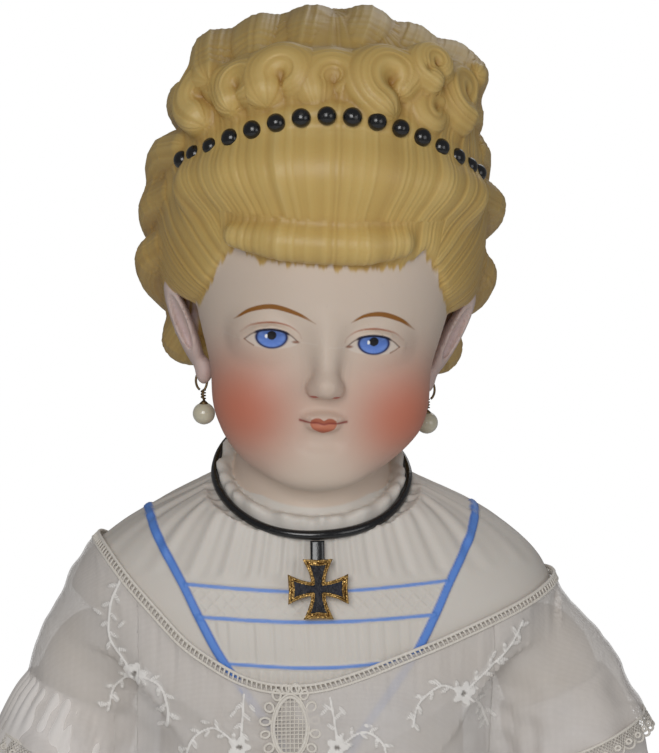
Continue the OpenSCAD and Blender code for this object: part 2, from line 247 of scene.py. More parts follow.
class Clay:
    """Signed distances on a regular grid, in millimetres; shapes are added, cut and blended into it."""

    def __init__(self, low, high, step):
        self.low = np.array(low, dtype=np.float64)
        self.step = step
        counts = np.ceil((np.array(high) - self.low) / step).astype(int) + 1
        self.axes = [(self.low[i] + step * np.arange(counts[i])).astype(np.float32) for i in range(3)]
        self.d = np.full(counts, 10.0, dtype=np.float32)

    def like(self):
        """Empty clay on the same grid."""
        high = [a[-1] - self.step / 4 for a in self.axes]
        return Clay(self.low, high, self.step)

    def open_grid(self, window=None):
        x, y, z = self.axes
        if window is not None:
            x, y, z = x[window[0]], y[window[1]], z[window[2]]
        return x[:, None, None], y[None, :, None], z[None, None, :]

    def window(self, low, high):
        cut = []
        for i in range(3):
            a = int(np.floor((low[i] - self.low[i]) / self.step))
            b = int(np.ceil((high[i] - self.low[i]) / self.step)) + 1
            cut.append(slice(max(a, 0), max(min(b, len(self.axes[i])), 0)))
        return tuple(cut)

    def blend(self, shape, k, mode="add"):
        """shape is (function, low, high). k is the width of the rounded seam."""
        function, low, high = shape
        reach = k + 2 * self.step
        window = self.window(np.array(low) - reach, np.array(high) + reach)
        if any(s.stop - s.start <= 0 for s in window):
            return
        new = function(*self.open_grid(window)).astype(np.float32)
        old = self.d[window]
        if mode == "add":
            self.d[window] = smooth_min(old, new, k)
        else:
            self.d[window] = -smooth_min(-old, new, k)

    def value_at(self, field, points):
        """Trilinear reading of a grid field at points in millimetres."""
        at = (points - self.low) / self.step
        base = np.clip(np.floor(at).astype(int), 0, np.array(field.shape) - 2)
        part = np.clip(at - base, 0, 1)
        total = np.zeros(len(points))
        for dx in (0, 1):
            for dy in (0, 1):
                for dz in (0, 1):
                    w = (
                        (part[:, 0] if dx else 1 - part[:, 0])
                        * (part[:, 1] if dy else 1 - part[:, 1])
                        * (part[:, 2] if dz else 1 - part[:, 2])
                    )
                    total += w * field[base[:, 0] + dx, base[:, 1] + dy, base[:, 2] + dz]
        return total

    def surface(self):
        """Vertices in millimetres and faces of the zero surface."""
        band = 3 * self.step
        grid = openvdb.FloatGrid(background=band)
        grid.copyFromArray(np.clip(self.d, -band, band))
        points, triangles, quads = grid.convertToPolygons(isovalue=0.0, adaptivity=0.0)
        points = np.array(points, dtype=np.float64) * self.step + self.low
        return points, np.array(quads, dtype=np.int64), np.array(triangles, dtype=np.int64)


def smooth_min(a, b, k):
    if k <= 0:
        return np.minimum(a, b)
    h = np.clip(0.5 + 0.5 * (b - a) / k, 0, 1)
    return b + (a - b) * h - k * h * (1 - h)


def turn(rx=0, ry=0, rz=0):
    """Rotation matrix from angles in degrees, about X, then Y, then Z."""
    m = Matrix.Rotation(math.radians(rz), 3, "Z") @ Matrix.Rotation(math.radians(ry), 3, "Y")
    return np.array(m @ Matrix.Rotation(math.radians(rx), 3, "X"))


def blob(centre, radii, rotation=None):
    """Ellipsoid."""
    c = np.array(centre, dtype=np.float32)
    r = np.array(radii, dtype=np.float32)
    inverse = np.eye(3) if rotation is None else rotation.T

    def distance(x, y, z):
        p = [x - c[0], y - c[1], z - c[2]]
        q = [inverse[i][0] * p[0] + inverse[i][1] * p[1] + inverse[i][2] * p[2] for i in range(3)]
        k0 = np.sqrt(sum((q[i] / r[i]) ** 2 for i in range(3)))
        k1 = np.sqrt(sum((q[i] / r[i] ** 2) ** 2 for i in range(3)))
        return k0 * (k0 - 1) / np.maximum(k1, 1e-4)

    reach = np.abs(np.eye(3) if rotation is None else rotation) @ r
    return distance, c - reach, c + reach


def rounded(line, radii, count=3):
    """The same rod with a smooth path."""
    return arc_line(line, count), arc_line(np.array(radii, dtype=np.float64)[:, None], count)[:, 0]


def tube(points, radii):
    """Round rod through points; radii is one number or one for each point."""
    pts = np.array(points, dtype=np.float32)
    rad = np.broadcast_to(np.array(radii, dtype=np.float32), (len(pts),))

    def distance(x, y, z):
        best = None
        for (a, b, ra, rb) in zip(pts[:-1], pts[1:], rad[:-1], rad[1:]):
            ab = b - a
            length2 = max(float(ab @ ab), 1e-6)
            t = np.clip(((x - a[0]) * ab[0] + (y - a[1]) * ab[1] + (z - a[2]) * ab[2]) / length2, 0, 1)
            gap = np.sqrt((x - a[0] - t * ab[0]) ** 2 + (y - a[1] - t * ab[1]) ** 2
                          + (z - a[2] - t * ab[2]) ** 2)
            gap = gap - (ra + (rb - ra) * t)
            best = gap if best is None else np.minimum(best, gap)
        return best

    most = float(rad.max())
    return distance, pts.min(0) - most, pts.max(0) + most


def rows_field(rows, squareness=2.0):
    """Implicit loft through rows [height, half width, front, back] with elliptical sections."""
    table = np.array(rows, dtype=np.float64)
    table = table[np.argsort(table[:, 0])]

    def distance(x, y, z):
        zs = np.asarray(z, dtype=np.float64)
        half = np.interp(zs, table[:, 0], table[:, 1]).astype(np.float32)
        front = np.interp(zs, table[:, 0], table[:, 2]).astype(np.float32)
        back = np.interp(zs, table[:, 0], table[:, 3]).astype(np.float32)
        middle, deep = (front + back) / 2, (back - front) / 2
        if squareness == 2.0:
            q = np.sqrt((x / half) ** 2 + ((y - middle) / deep) ** 2)
        else:
            q = np.abs(x / half) ** squareness + np.abs((y - middle) / deep) ** squareness
            q = q ** (1 / squareness)
        return (q - 1) * np.minimum(half, deep)

    return distance


def even_gradient(field, step, cap=6.0):
    """Divides a field by the size of its own gradient, so that it reads as a distance near its surface."""
    gx, gy, gz = np.gradient(field, step)
    size = np.sqrt(gx * gx + gy * gy + gz * gz)
    return field / np.clip(size, 1.0 / cap, cap)


def capped(field, low_z, high_z):
    def distance(x, y, z):
        return np.maximum(field(x, y, z), np.maximum(low_z - z, z - high_z))
    return distance


def soften(rows, sigma=1.6, step=0.5):
    """The same rows resampled finely with their corners rounded."""
    table = np.array(rows, dtype=np.float64)
    table = table[np.argsort(table[:, 0])]
    z = np.arange(table[0, 0], table[-1, 0] + step / 2, step)
    reach = int(4 * sigma / step)
    kernel = np.exp(-0.5 * (np.arange(-reach, reach + 1) * step / sigma) ** 2)
    kernel /= kernel.sum()
    made = [z]
    for i in range(1, table.shape[1]):
        value = np.interp(z, table[:, 0], table[:, i])
        ends = (2 * value[0] - value[reach:0:-1], 2 * value[-1] - value[-2:-reach - 2:-1])
        made.append(np.convolve(np.concatenate([ends[0], value, ends[1]]), kernel, mode="valid"))
    return np.stack(made, axis=1)


def ease(low, high, value):
    """Smooth step from 0 at low to 1 at high."""
    t = np.clip((value - low) / (high - low), 0, 1)
    return t * t * (3 - 2 * t)


def noise_1d(seed, u):
    """Smooth random curve of unit spacing, between -1 and 1."""
    base = np.floor(u).astype(np.int64)
    t = u - base
    t = t * t * (3 - 2 * t)

    def hashed(i):
        v = np.sin((i + 17.3 * seed) * 127.1) * 43758.5453
        return 2 * (v - np.floor(v)) - 1

    return hashed(base) * (1 - t) + hashed(base + 1) * t


# ---------------------------------------------------------------- mesh helper

def side_name(side):
    return "left" if side > 0 else "right"


def round_angles(count):
    """Evenly spaced angles of a full turn, without its end."""
    return np.linspace(0, 2 * math.pi, count, endpoint=False)


def path_length(line):
    """How far each point lies along an open line."""
    return np.concatenate([[0], np.cumsum(np.linalg.norm(np.diff(line, axis=0), axis=1))])


def ring_faces(rings, around, closed=False, flipped=False):
    """Quads between neighbouring rings of points; closed joins the last ring to the first."""
    faces = []
    for i in range(rings if closed else rings - 1):
        j = (i + 1) % rings
        for k in range(around):
            m = (k + 1) % around
            face = (i * around + k, i * around + m, j * around + m, j * around + k)
            faces.append(face[:1] + face[:0:-1] if flipped else face)
    return faces


def end_faces(rings, around):
    """Flat ends of a tube of rings."""
    return [tuple(range(around - 1, -1, -1)), tuple(range((rings - 1) * around, rings * around))]


def add_object(name, mesh):
    made = bpy.data.objects.new(name, mesh)
    bpy.context.collection.objects.link(made)
    return made


def mesh_from(name, points, faces, smooth=True):
    """Object from points in metres."""
    mesh = bpy.data.meshes.new(name)
    mesh.from_pydata([tuple(p) for p in points], [], [tuple(int(i) for i in f) for f in faces])
    mesh.validate()
    mesh.update()
    if smooth:
        mesh.polygons.foreach_set("use_smooth", [True] * len(mesh.polygons))
    return add_object(name, mesh)


def clay_object(name, clay):
    points, quads, triangles = clay.surface()
    faces = [*quads.tolist(), *triangles.tolist()]
    made = mesh_from(name, points * MM, faces)
    first = made.data.polygons[0]
    at = np.array(first.center) / MM
    n = np.array(first.normal)
    probe = np.array([at + n * clay.step, at - n * clay.step])
    outer, inner = clay.value_at(clay.d, probe)
    if outer < inner:
        made.data.flip_normals()
    return made


def mesh_points(obj):
    """Vertices in millimetres."""
    flat = np.empty(len(obj.data.vertices) * 3, dtype=np.float64)
    obj.data.vertices.foreach_get("co", flat)
    return flat.reshape(-1, 3) / MM


def mesh_normals(obj):
    flat = np.empty(len(obj.data.vertices) * 3, dtype=np.float32)
    obj.data.vertex_normals.foreach_get("vector", flat)
    return flat.reshape(-1, 3).astype(np.float64)


def put_points(obj, points):
    obj.data.vertices.foreach_set("co", (points * MM).astype(np.float32).ravel())
    obj.data.update()


def put_attribute(obj, name, values):
    values = np.asarray(values, dtype=np.float32)
    if values.ndim == 1:
        layer = obj.data.attributes.new(name, "FLOAT", "POINT")
        layer.data.foreach_set("value", values)
    else:
        layer = obj.data.attributes.new(name, "FLOAT_COLOR", "POINT")
        rgba = np.ones((len(values), 4), dtype=np.float32)
        rgba[:, :3] = values
        layer.data.foreach_set("color", rgba.ravel())


def refine(obj, chosen, cuts):
    """Divides the quads whose middles are chosen(points in mm) into a finer grid."""
    made = bmesh.new()
    made.from_mesh(obj.data)
    middles = np.array([f.calc_center_median() for f in made.faces]) / MM
    wanted = chosen(middles)
    edges = {e for f, keep in zip(made.faces, wanted) if keep for e in f.edges}
    bmesh.ops.subdivide_edges(made, edges=list(edges), cuts=cuts, use_grid_fill=True, smooth=0.0)
    made.to_mesh(obj.data)
    made.free()
    obj.data.polygons.foreach_set("use_smooth", [True] * len(obj.data.polygons))
    obj.data.update()


def linear(*srgb):
    """Linear colour from 0-255 display values."""
    c = np.array(srgb, dtype=np.float64) / 255
    return np.where(c <= 0.04045, c / 12.92, ((c + 0.055) / 1.055) ** 2.4)


def lay(colours, colour, share):
    """Paints one colour over vertex colours with a share for each vertex."""
    share = np.clip(share, 0, 1)[:, None]
    return colours * (1 - share) + np.asarray(colour) * share


def along(points, line):
    """Distance of 2-D points from a polyline, and how far along it the nearest place is (0-1)."""
    line = np.array(line, dtype=np.float64)
    best = np.full(len(points), 1e9)
    where = np.zeros(len(points))
    steps = np.linalg.norm(np.diff(line, axis=0), axis=1)
    total, gone = steps.sum(), 0.0
    for a, b, length in zip(line[:-1], line[1:], steps):
        ab = b - a
        t = np.clip(((points - a) @ ab) / (ab @ ab), 0, 1)
        gap = np.linalg.norm(points - a - t[:, None] * ab, axis=1)
        near = gap < best
        best = np.where(near, gap, best)
        where = np.where(near, (gone + t * length) / total, where)
        gone += length
    return best, where


def arc_line(points, count=24):
    """Smooth line through a few points (Catmull-Rom)."""
    p = np.array(points, dtype=np.float64)
    p = np.concatenate([[2 * p[0] - p[1]], p, [2 * p[-1] - p[-2]]])
    made = []
    for i in range(1, len(p) - 2):
        for t in np.linspace(0, 1, count, endpoint=False):
            a, b, c, d = p[i - 1:i + 3]
            made.append(0.5 * (
                2 * b + (c - a) * t + (2 * a - 5 * b + 4 * c - d) * t ** 2 + (3 * b - a - 3 * c + d) * t ** 3
            ))
    made.append(p[-2])
    return np.array(made)


# ---------------------------------------------------------------- head and shoulder plate

HEAD_STEP = 0.5
TILT = math.radians(3)
NECK_HEIGHT = 466.0
TILT_FADE = 12.0

FACE_ROWS = [
    [466.2, 1, -16, -14], [466.8, 5.5, -21, -12], [468, 9.5, -23.8, -8], [470, 13.2, -26, -4],
    [473, 15.8, -27.6, 0], [476, 17.6, -28.2, 4], [480, 19.3, -28.6, 7], [485, 20.8, -29, 9],
    [490, 22.2, -29.3, 12], [495, 23.6, -29.6, 15], [500, 25, -30.3, 18], [505, 26.2, -30.4, 22],
    [512, 28, -30, 26], [520, 29.5, -29, 28], [530, 30, -27, 28],
]
HAIR_ROWS = [
    [480.3, 10, 9, 19], [481.6, 18, 5, 24], [485, 25.5, 8, 28.5], [489, 28.6, 8, 31.5], [494, 29.8, 6, 33.6],
    [500, 31.0, -20, 35],
    [506, 32.0, -28, 35.8], [512, 32.6, -29.5, 36], [517, 32.6, -32, 35.8], [522, 32, -32.4, 35],
    [528, 31, -32.6, 33.6], [534, 29.5, -31.8, 31.6], [540, 27.5, -29.6, 28.6], [546, 24, -26.5, 24.6],
    [551, 20, -21.5, 20], [555, 14, -15, 15], [557.5, 7, -8, 10], [558.5, 2, -3, 6],
]
PLATE_ROWS = [
    [405, 47, -25.2, 22.6], [412, 47.5, -25.5, 23], [424, 47.8, -26.5, 24], [436, 48.2, -26, 24],
    [443, 48.6, -24.5, 23], [448.5, 46, -22.8, 21.5], [452, 43, -21.5, 20.5], [456, 38, -20.3, 19.6],
    [459.5, 32, -19.8, 19], [462, 26.5, -19.6, 19], [464.5, 21, -19.0, 18.6], [466.5, 17.5, -17.5, 17.5],
    [470, 15.5, -15.5, 15.5],
]
NECK_ROWS = [
    [446, 18, -19.5, 16], [458, 17.8, -19.6, 16.4], [462, 17.2, -18.6, 16.6], [466, 15.8, -16.8, 16],
    [474, 13.6, -14, 14], [486, 13.4, -13.5, 13.5],
]
PLATE_WALL = 3.5
PLATE_EDGE = 412.0
PLATE_SIDE_LIFT = 31.0
EYES = {-1: (11.0, 497.3), 1: (9.1, 496.9)}
EAR = (26.7, 2.6, 493.8)


def tilt(points):
    p = np.array(points, dtype=np.float64)
    a = TILT * np.clip((p[..., 2] - NECK_HEIGHT) / TILT_FADE, 0, 1)
    up = p[..., 2] - NECK_HEIGHT
    x = p[..., 0] * np.cos(a) + up * np.sin(a)
    z = NECK_HEIGHT + up * np.cos(a) - p[..., 0] * np.sin(a)
    return np.stack([x, p[..., 1], z], axis=-1)


def both(shape_of):
    """The same shape on the right and the left."""
    return [shape_of(-1), shape_of(1)]


def smooth_part(clay, low, high, rounds):
    """Softens creases of the clay inside a box."""
    part = clay.window(low, high)
    clay.d[part] = blurred(clay.d[part], rounds)


def sculpt_face(clay):
    clay.blend((rows_field(soften(NECK_ROWS)), (-19, -19, 452), (19, 19, 482)), 3)
    clay.blend(blob((0, -23.6, 471.6), (8.5, 5, 5.2)), 6)
    for cheek in both(lambda s: blob((s * 11.6, -19.0, 483.6), (9.0, 8.6, 9.2))):
        clay.blend(cheek, 7)
    smooth_part(clay, (-26, -40, 463), (26, -2, 494), 45)
    for s, (ex, ez) in EYES.items():
        clay.blend(blob((s * (ex + 0.2), -35.2, ez + 0.6), (7.8, 5, 4.6)), 3.6, "cut")
        clay.blend(blob((s * (ex - 0.2), -20.9, ez), (8.2, 8.1, 8)), 1.6)
        lid = [(-5.1, -27.6, -0.3), (-3, -29.1, 1.6), (0, -29.5, 2.3), (3, -28.5, 1.6), (5.4, -25.8, -0.4)]
        clay.blend(tube([(s * (ex + x), y, ez + z) for x, y, z in lid], 0.5), 1.3)
    clay.blend(tube([(0, -28.9, 500), (0, -30.1, 496), (0, -31.6, 491.5), (0, -32.3, 489.3)],
                    [1.5, 1.6, 1.8, 2.0]), 4.6)
    clay.blend(blob((0, -32.3, 488.7), (2.2, 2.3, 1.9)), 2.4)
    for wing in both(lambda s: blob((s * 2.1, -30.5, 487.8), (1.3, 1.9, 1.3))):
        clay.blend(wing, 1.8)
    for nostril in both(lambda s: blob((s * 1.7, -31.9, 486.4), (0.7, 1.0, 0.5))):
        clay.blend(nostril, 0.5, "cut")
    for upper in both(lambda s: blob((s * 1.4, -29.2, 482.0), (2.4, 1.6, 0.9))):
        clay.blend(upper, 1.6)
    clay.blend(blob((0, -29.1, 480.4), (2.9, 1.8, 1.3)), 1.6)
    clay.blend(tube([(-4.9, -29.1, 481.2), (-2.6, -30.6, 481.3), (0, -31.2, 481.1), (2.6, -30.6, 481.3),
                     (4.9, -29.1, 481.2)], 0.28), 0.5, "cut")
    clay.blend(tube([(-2.5, -29.6, 477.2), (0, -30, 476.8), (2.5, -29.6, 477.2)], 0.9), 2.5, "cut")
    for s in (-1, 1):
        lean = turn(rx=8, ry=s * 25, rz=s * -10)
        x, y, z = EAR
        clay.blend(blob((s * x, y, z), (2.0, 4.6, 10.4), lean), 1.6)
        clay.blend(blob((s * (x + 0.9), y - 3.0, z + 1.4), (1.0, 2.2, 6.2), lean), 0.9, "cut")
        clay.blend(blob((s * 22.3, 2, 485), (1.7, 2.1, 2.6)), 1.5)


CHOKER_FRONT = 456.8
CHOKER_RISE = 17.4
FRILL_TOP_FRONT = 461.4
FRILL_TOP_RISE = 14.4
FRILL_RADIUS = 17.0
CHOKER_RADIUS = 19.3
CHOKER_THICKNESS = 0.85
NECK_Y = -2
NECK_DEPTH_RATIO = 20 / 19.5


def collar_height(angle):
    """Height of the choker line and of the frill's top edge at an angle; 0 is the front."""
    rise = (1 - np.cos(angle)) / 2
    return CHOKER_FRONT + CHOKER_RISE * rise, FRILL_TOP_FRONT + FRILL_TOP_RISE * rise


def sculpt_collar(clay):
    low, high = np.array((-24, -26, 452)), np.array((24, 24, 478))

    def distance(x, y, z):
        angle = np.arctan2(x, -(y + 2) * 19.5 / 20)
        bottom, top = collar_height(angle)
        wave = (
            0.5 * np.sin(12 * angle + 1.5 * np.sin(3 * angle))
            + 0.5 * np.sin(25 * angle + 2 * np.sin(5 * angle))
        )
        rise = np.clip((z - bottom) / (top - bottom), -1, 1.6)
        radius = FRILL_RADIUS + 0.9 * rise + 0.7 * wave * np.clip(rise, 0, 1)
        q = np.sqrt(x ** 2 + ((y + 2) * 19.5 / 20) ** 2)
        edge = top - 2.0 + 0.4 * wave
        off = z - np.clip(z, bottom - 1, edge)
        return np.sqrt((q - radius) ** 2 + off ** 2) - (1.5 - 0.35 * np.clip(rise, 0, 1))

    clay.blend((distance, low, high), 0.9)


def plate_arch(x, y):
    """Lower edge of the plate: low at the front and back, high at the sides."""
    angle = np.arctan2(y / 25.0, x / 47.5)
    return PLATE_EDGE + PLATE_SIDE_LIFT * (1 - np.abs(np.sin(angle)) ** 2.6)


def hollow_plate(clay):
    inner = np.array(PLATE_ROWS)
    inner[:, 0] -= PLATE_WALL
    inner[:, 1] -= PLATE_WALL
    inner[:, 2] += PLATE_WALL
    inner[:, 3] -= PLATE_WALL
    inner = soften(inner[inner[:, 1] > 15])
    clay.blend((capped(rows_field(inner), 300, 461), (-50, -30, 400), (50, 30, 463)), 1.5, "cut")
    clay.blend((lambda x, y, z: (z - plate_arch(x, y)) * 0.7, (-51, -38, 400), (51, 38, 446)), 0.8, "cut")


HAIR_CENTRE = np.array([0, 4, 522])
LOCK_SEAM = 3.0
BAND_Y = 2.5
BAND_TOP = 542
BAND_FALL = 15
HAIRLINE = np.array([
    [0, 511.9], [26, 511.9], [31, 513.0], [35, 515.0], [40, 512.5], [46, 508.5], [53, 504], [60, 500.6],
    [70, 498.5], [84, 501], [92, 502], [100, 496], [106, 484], [115, 478], [180, 478],
])


def hairline_height(x, y):
    angle = np.degrees(np.arctan2(np.abs(x), -(y - 2)))
    return np.interp(angle, HAIRLINE[:, 0], HAIRLINE[:, 1])


def curl(centre, size, thick, start, sweep, lift=0.0):
    """C-shaped lock lying on the head: an arc around its centre, thinner towards its end."""
    c = np.array(centre, dtype=np.float64)
    out = c - HAIR_CENTRE
    out /= np.linalg.norm(out)
    right = np.cross([0, 0, 1], out)
    right /= np.linalg.norm(right)
    if right[0] < 0:
        right = -right
    up = np.cross(right, out)
    up = up if up[2] > 0 else -up
    count = 12
    points, radii = [], []
    for i in range(count):
        t = i / (count - 1)
        a = math.radians(start + sweep * t)
        r = size * (1 - 0.45 * t)
        points.append(c + r * (math.cos(a) * right + math.sin(a) * up) + out * (lift + 0.8 * t))
        radii.append(thick * (0.8 + 0.3 * math.sin(math.pi * t) - 0.35 * t))
    return points, radii


FRINGE_ROLL = ([(-19, -26.2, 517), (-11, -29.6, 516.7), (-2, -30.6, 516.6), (7, -30.4, 516.7),
                (13, -28.7, 517.4)],
               [2.4, 3.6, 3.9, 3.8, 3.0])
POMPADOUR = ([(-27, -15, 525), (-20, -23, 528), (-10, -27.6, 530), (0, -28.6, 530.5), (10, -27.6, 530),
              (20, -23, 528), (27, -15, 525)], [4.0, 4.6, 5, 5.2, 5, 4.6, 4.0])
# each curl: centre, size, thickness, start angle, sweep and lift
CURLS = [
    ((-25.2, -13, 542.5), 4.6, 4.6, 265, -240, -0.8),
    ((-18.4, -19.8, 545.4), 3.8, 3.8, 230, -290, -0.6),
    ((-10.6, -22.6, 548.0), 4.4, 4.8, 215, -250, -0.8),
    ((-1.0, -23.4, 547.6), 4.2, 4.8, 205, -240, -0.8),
    ((9.8, -22.8, 548.0), 5.4, 4.8, 235, -265, -0.6),
    ((18.4, -18.0, 550.8), 3.2, 3.2, 240, -330, -0.2),
    ((24.2, -11.4, 544.4), 4.4, 4.2, 250, -300, -0.6),
    ((18.4, -20.0, 542.0), 2.8, 3.0, 60, 250, -0.4),
]
# each lock over the crown: x and height of its top
CROWN_TOPS = [(-22.5, 553.8), (-14.0, 557.2), (-4.5, 559.3), (6.5, 559.8), (15.5, 556.6), (23.5, 553.6)]
CROWN_RADIUS = 5.6
CROWN_LEAN = -2.0
# each lock down a side: its line and its radii
SIDE_LOCKS = [
    ([(28.0, -6, 548), (28.0, 4, 546), (27, 13, 542), (25, 22, 537)], [2.4, 3.6, 4, 3.5]),
    ([(-26.5, -6, 541), (-27.9, 4, 539.5), (-27.5, 14, 536), (-25, 24, 531)], [2.5, 4, 4.3, 3.5]),
    ([(-29, -6, 531), (-31.3, 4, 528), (-31.2, 14, 522), (-28, 24, 516)], [2.8, 4, 4.2, 3.5]),
    ([(-30.6, -2, 521.5), (-32.5, 8, 517.6), (-31.5, 18, 512), (-28, 26, 507)], [2.4, 4.1, 4.3, 3.5]),
    ([(-31.2, 3, 510), (-32.7, 10, 506.5), (-31.5, 18, 501.5), (-28, 26, 496)], [2.6, 4.1, 4.3, 3.5]),
    ([(26, -6, 541), (27.2, 5, 538.5), (27, 15, 534.5), (25, 24, 530)], [2.5, 3.9, 4.2, 3.5]),
    ([(29, 0, 532), (29.8, 8, 529.5), (29.6, 17, 524), (27, 25, 519)], [2.5, 3.6, 4, 3.5]),
    ([(30, -2, 523.5), (32.7, 8, 520), (31.5, 18, 515), (28, 26, 510)], [2.8, 4.2, 4.3, 3.5]),
    ([(30.6, 4, 509), (32.0, 11, 505.5), (31, 19, 500.5), (28, 26, 496)], [2.6, 4.1, 4.2, 3.5]),
]
BACK_LOCK = [(20, 546), (27.5, 537), (31.8, 525), (33.5, 513), (32.8, 502), (29.5, 492), (23, 485)]


def head_locks():
    """Locks of the moulded hair, as (points, radii) of round rods."""
    locks = [curl(*row) for row in CURLS]
    r, lean = CROWN_RADIUS, CROWN_LEAN
    for x, top in CROWN_TOPS:
        locks.append((
            [(x + lean, -12.5, top - 7.5), (x + lean * 0.5, -6, top - r - 1), (x, 2, top - r),
             (x * 0.97, 12, top - r - 1.5),
             (x * 0.92, 20, top - 11.5)],
            [3.4, 5.2, r, r, 4.6],
        ))
    locks += SIDE_LOCKS
    for s in (-1, 1):
        locks.append(([(s * 25.5, 10, 493), (s * 26.0, 18, 488.5), (s * 22, 27, 486)], [3.6, 4.4, 4.2]))
    for j in range(-2, 3):
        line = []
        for k, (y, z) in enumerate(BACK_LOCK):
            line.append((8.6 * j + 1.3 * math.sin(k * 1.7 + j), y - 0.14 * j * j * 2.4, z - abs(j)))
        locks.append((line, [3.4, 4.4, 4.6, 4.6, 4.4, 4.2, 3.2]))
    return [rounded(*lock) for lock in locks]


def sculpt_hair(grid):
    """Hair volume on the same grid as the head."""
    hair = grid.like()
    x, y, z = hair.open_grid()
    rows = even_gradient(capped(rows_field(soften(HAIR_ROWS)), 480, 558)(x, y, z), hair.step)
    cut = (hairline_height(x, y) - z) * 0.75
    hair.d = -smooth_min(-rows, -cut, 2.2).astype(np.float32)
    hair.blend(tube(*POMPADOUR), 5)
    hair.blend(tube(*FRINGE_ROLL), 1.6)
    for lock in head_locks():
        hair.blend(tube(*lock), LOCK_SEAM)
    band = [(29.4 * math.sin(a), BAND_Y - 29.9 * math.cos(a), BAND_TOP - BAND_FALL * math.sin(a) ** 2)
            for a in np.radians(np.arange(-80, 81, 8))]
    hair.blend(tube(band, 2.3), 0.9)
    under = [(x, y * 1.03, z - 3.1) for x, y, z in band[3:-3]]
    hair.blend(tube(under, 0.7), 1.4, "cut")
    ring_hole = curl((17.6, -22.4, 551.6), 0.4, 1.0, 0, 10)
    hair.blend(tube(*ring_hole), 0.8, "cut")
    return hair


def blurred(field, rounds):
    made = field.copy()
    for _ in range(rounds):
        total = made[1:-1, 1:-1, 1:-1] * 2
        total += made[2:, 1:-1, 1:-1] + made[:-2, 1:-1, 1:-1]
        total += made[1:-1, 2:, 1:-1] + made[1:-1, :-2, 1:-1]
        total += made[1:-1, 1:-1, 2:] + made[1:-1, 1:-1, :-2]
        made[1:-1, 1:-1, 1:-1] = total / 8
    return made


def lock_reading(points, lock):
    """Gap to a lock's skin, angle around its axis and place along it, for points in millimetres."""
    line, radii = np.array(lock[0]), np.array(lock[1])
    gap = np.full(len(points), 1e9)
    angle = np.zeros(len(points))
    reach = np.ones(len(points))
    place = np.zeros(len(points))
    for i in range(len(line) - 1):
        a, ab = line[i], line[i + 1] - line[i]
        t = np.clip(((points - a) @ ab) / (ab @ ab), 0, 1)
        c = a + t[:, None] * ab
        radius = radii[i] + (radii[i + 1] - radii[i]) * t
        here = np.linalg.norm(points - c, axis=1) - radius
        axis = ab / np.linalg.norm(ab)
        out = c - HAIR_CENTRE
        out -= (out @ axis)[:, None] * axis
        out /= np.linalg.norm(out, axis=1)[:, None] + 1e-9
        side = np.cross(axis, out)
        theta = np.arctan2(((points - c) * side).sum(1), ((points - c) * out).sum(1))
        near = here < gap
        gap = np.where(near, here, gap)
        angle = np.where(near, theta, angle)
        reach = np.where(near, radius, reach)
        place = np.where(near, i + t, place)
    return gap, angle, reach, place


def comb_lines(points):
    """Strand pattern (-1 to 1) of the hair at points: along each lock, fanned over the rest."""
    perimeter = 31 * np.arctan2(points[:, 0], -(points[:, 1] - 4))
    fan = np.where(
        points[:, 2] > 521.5,
        np.arctan2(perimeter, points[:, 2] - 484) * 44,
        perimeter * 1.02 + 0.02 * (points[:, 2] - 515) * perimeter * (np.abs(perimeter) > 24),
    )
    side = (np.abs(perimeter) > 21) & (points[:, 2] <= 521.5)
    fan = np.where(side, np.arctan2(perimeter, points[:, 2] - 484) * 44, fan)
    u, seed, gap = fan, np.zeros(len(points)), np.full(len(points), 0.9)
    second = np.full(len(points), 3.0)
    for number, lock in enumerate(head_locks()):
        reach = lock[1].max() + 3
        close = np.flatnonzero(np.all((points > lock[0].min(0) - reach) & (points < lock[0].max(0) + reach),
                                      axis=1))
        here, angle, radius, _ = lock_reading(points[close], lock)
        near = here < gap[close]
        second[close] = np.where(near, gap[close], np.minimum(second[close], here))
        gap[close] = np.where(near, here, gap[close])
        u[close] = np.where(near, angle * radius, u[close])
        seed[close] = np.where(near, number + 1, seed[close])
    value = 0.5 * noise_1d(seed, u / 0.95) + 0.5 * noise_1d(seed + 40, u / 0.46)
    # parting nears 1 where two locks meet: it cuts a groove there and is used to paint shade between the
    # locks
    parting = np.exp(-np.clip(second - gap, 0, 9) / 0.5)
    return value, parting


FLESH = linear(216, 199, 183)
WHITE_PAINT = linear(217, 211, 203)
HAIR_PAINT = linear(206, 174, 102)
# darker and paler hair paint: partly the strands' own colour, partly painted shade (hollows, grooves, between
# locks, down the sides) and painted highlight (ridges, raised strands)
HAIR_DARK_AND_PAINTED_SHADE = linear(152, 108, 48)
HAIR_PALE_AND_PAINTED_HIGHLIGHT = linear(228, 206, 146)
BLUE_PAINT = linear(98, 146, 226)
BLUE_DEEP = linear(58, 98, 190)
BLUSH = linear(198, 98, 66)
EYE_WHITE = linear(226, 216, 206)
IRIS = linear(92, 128, 206)
IRIS_RAYS = linear(132, 164, 232)
IRIS_RING = linear(20, 26, 78)
PUPIL = linear(10, 9, 18)
GLINT = linear(255, 255, 255)
LID_LINE = linear(84, 58, 46)
LID_OVER_IRIS = linear(14, 16, 48)
LID_CREASE = linear(168, 104, 78)
LOWER_LID = linear(150, 104, 78)
EYE_CORNER = linear(140, 88, 62)
BROW_PAINT = linear(146, 94, 32)
UPPER_LIP = linear(178, 94, 66)
LOWER_LIP = linear(204, 122, 92)
LIP_SHADE = linear(176, 84, 58)
LIP_SEAM = linear(140, 52, 44)
NOSTRIL = linear(186, 70, 66)
EAR_FLESH = linear(212, 190, 186)
# painted shade for the hollows of the ears
EAR_PAINTED_SHADE = linear(164, 136, 158)
# painted shade for the hollows of the moulded blouse
BLOUSE_PAINTED_SHADE = linear(186, 176, 160)
FINGERTIP = linear(214, 140, 120)
KNUCKLE = linear(206, 150, 128)
BOOT_LEATHER = linear(46, 38, 36)
SOLE_EDGE = linear(150, 110, 60)

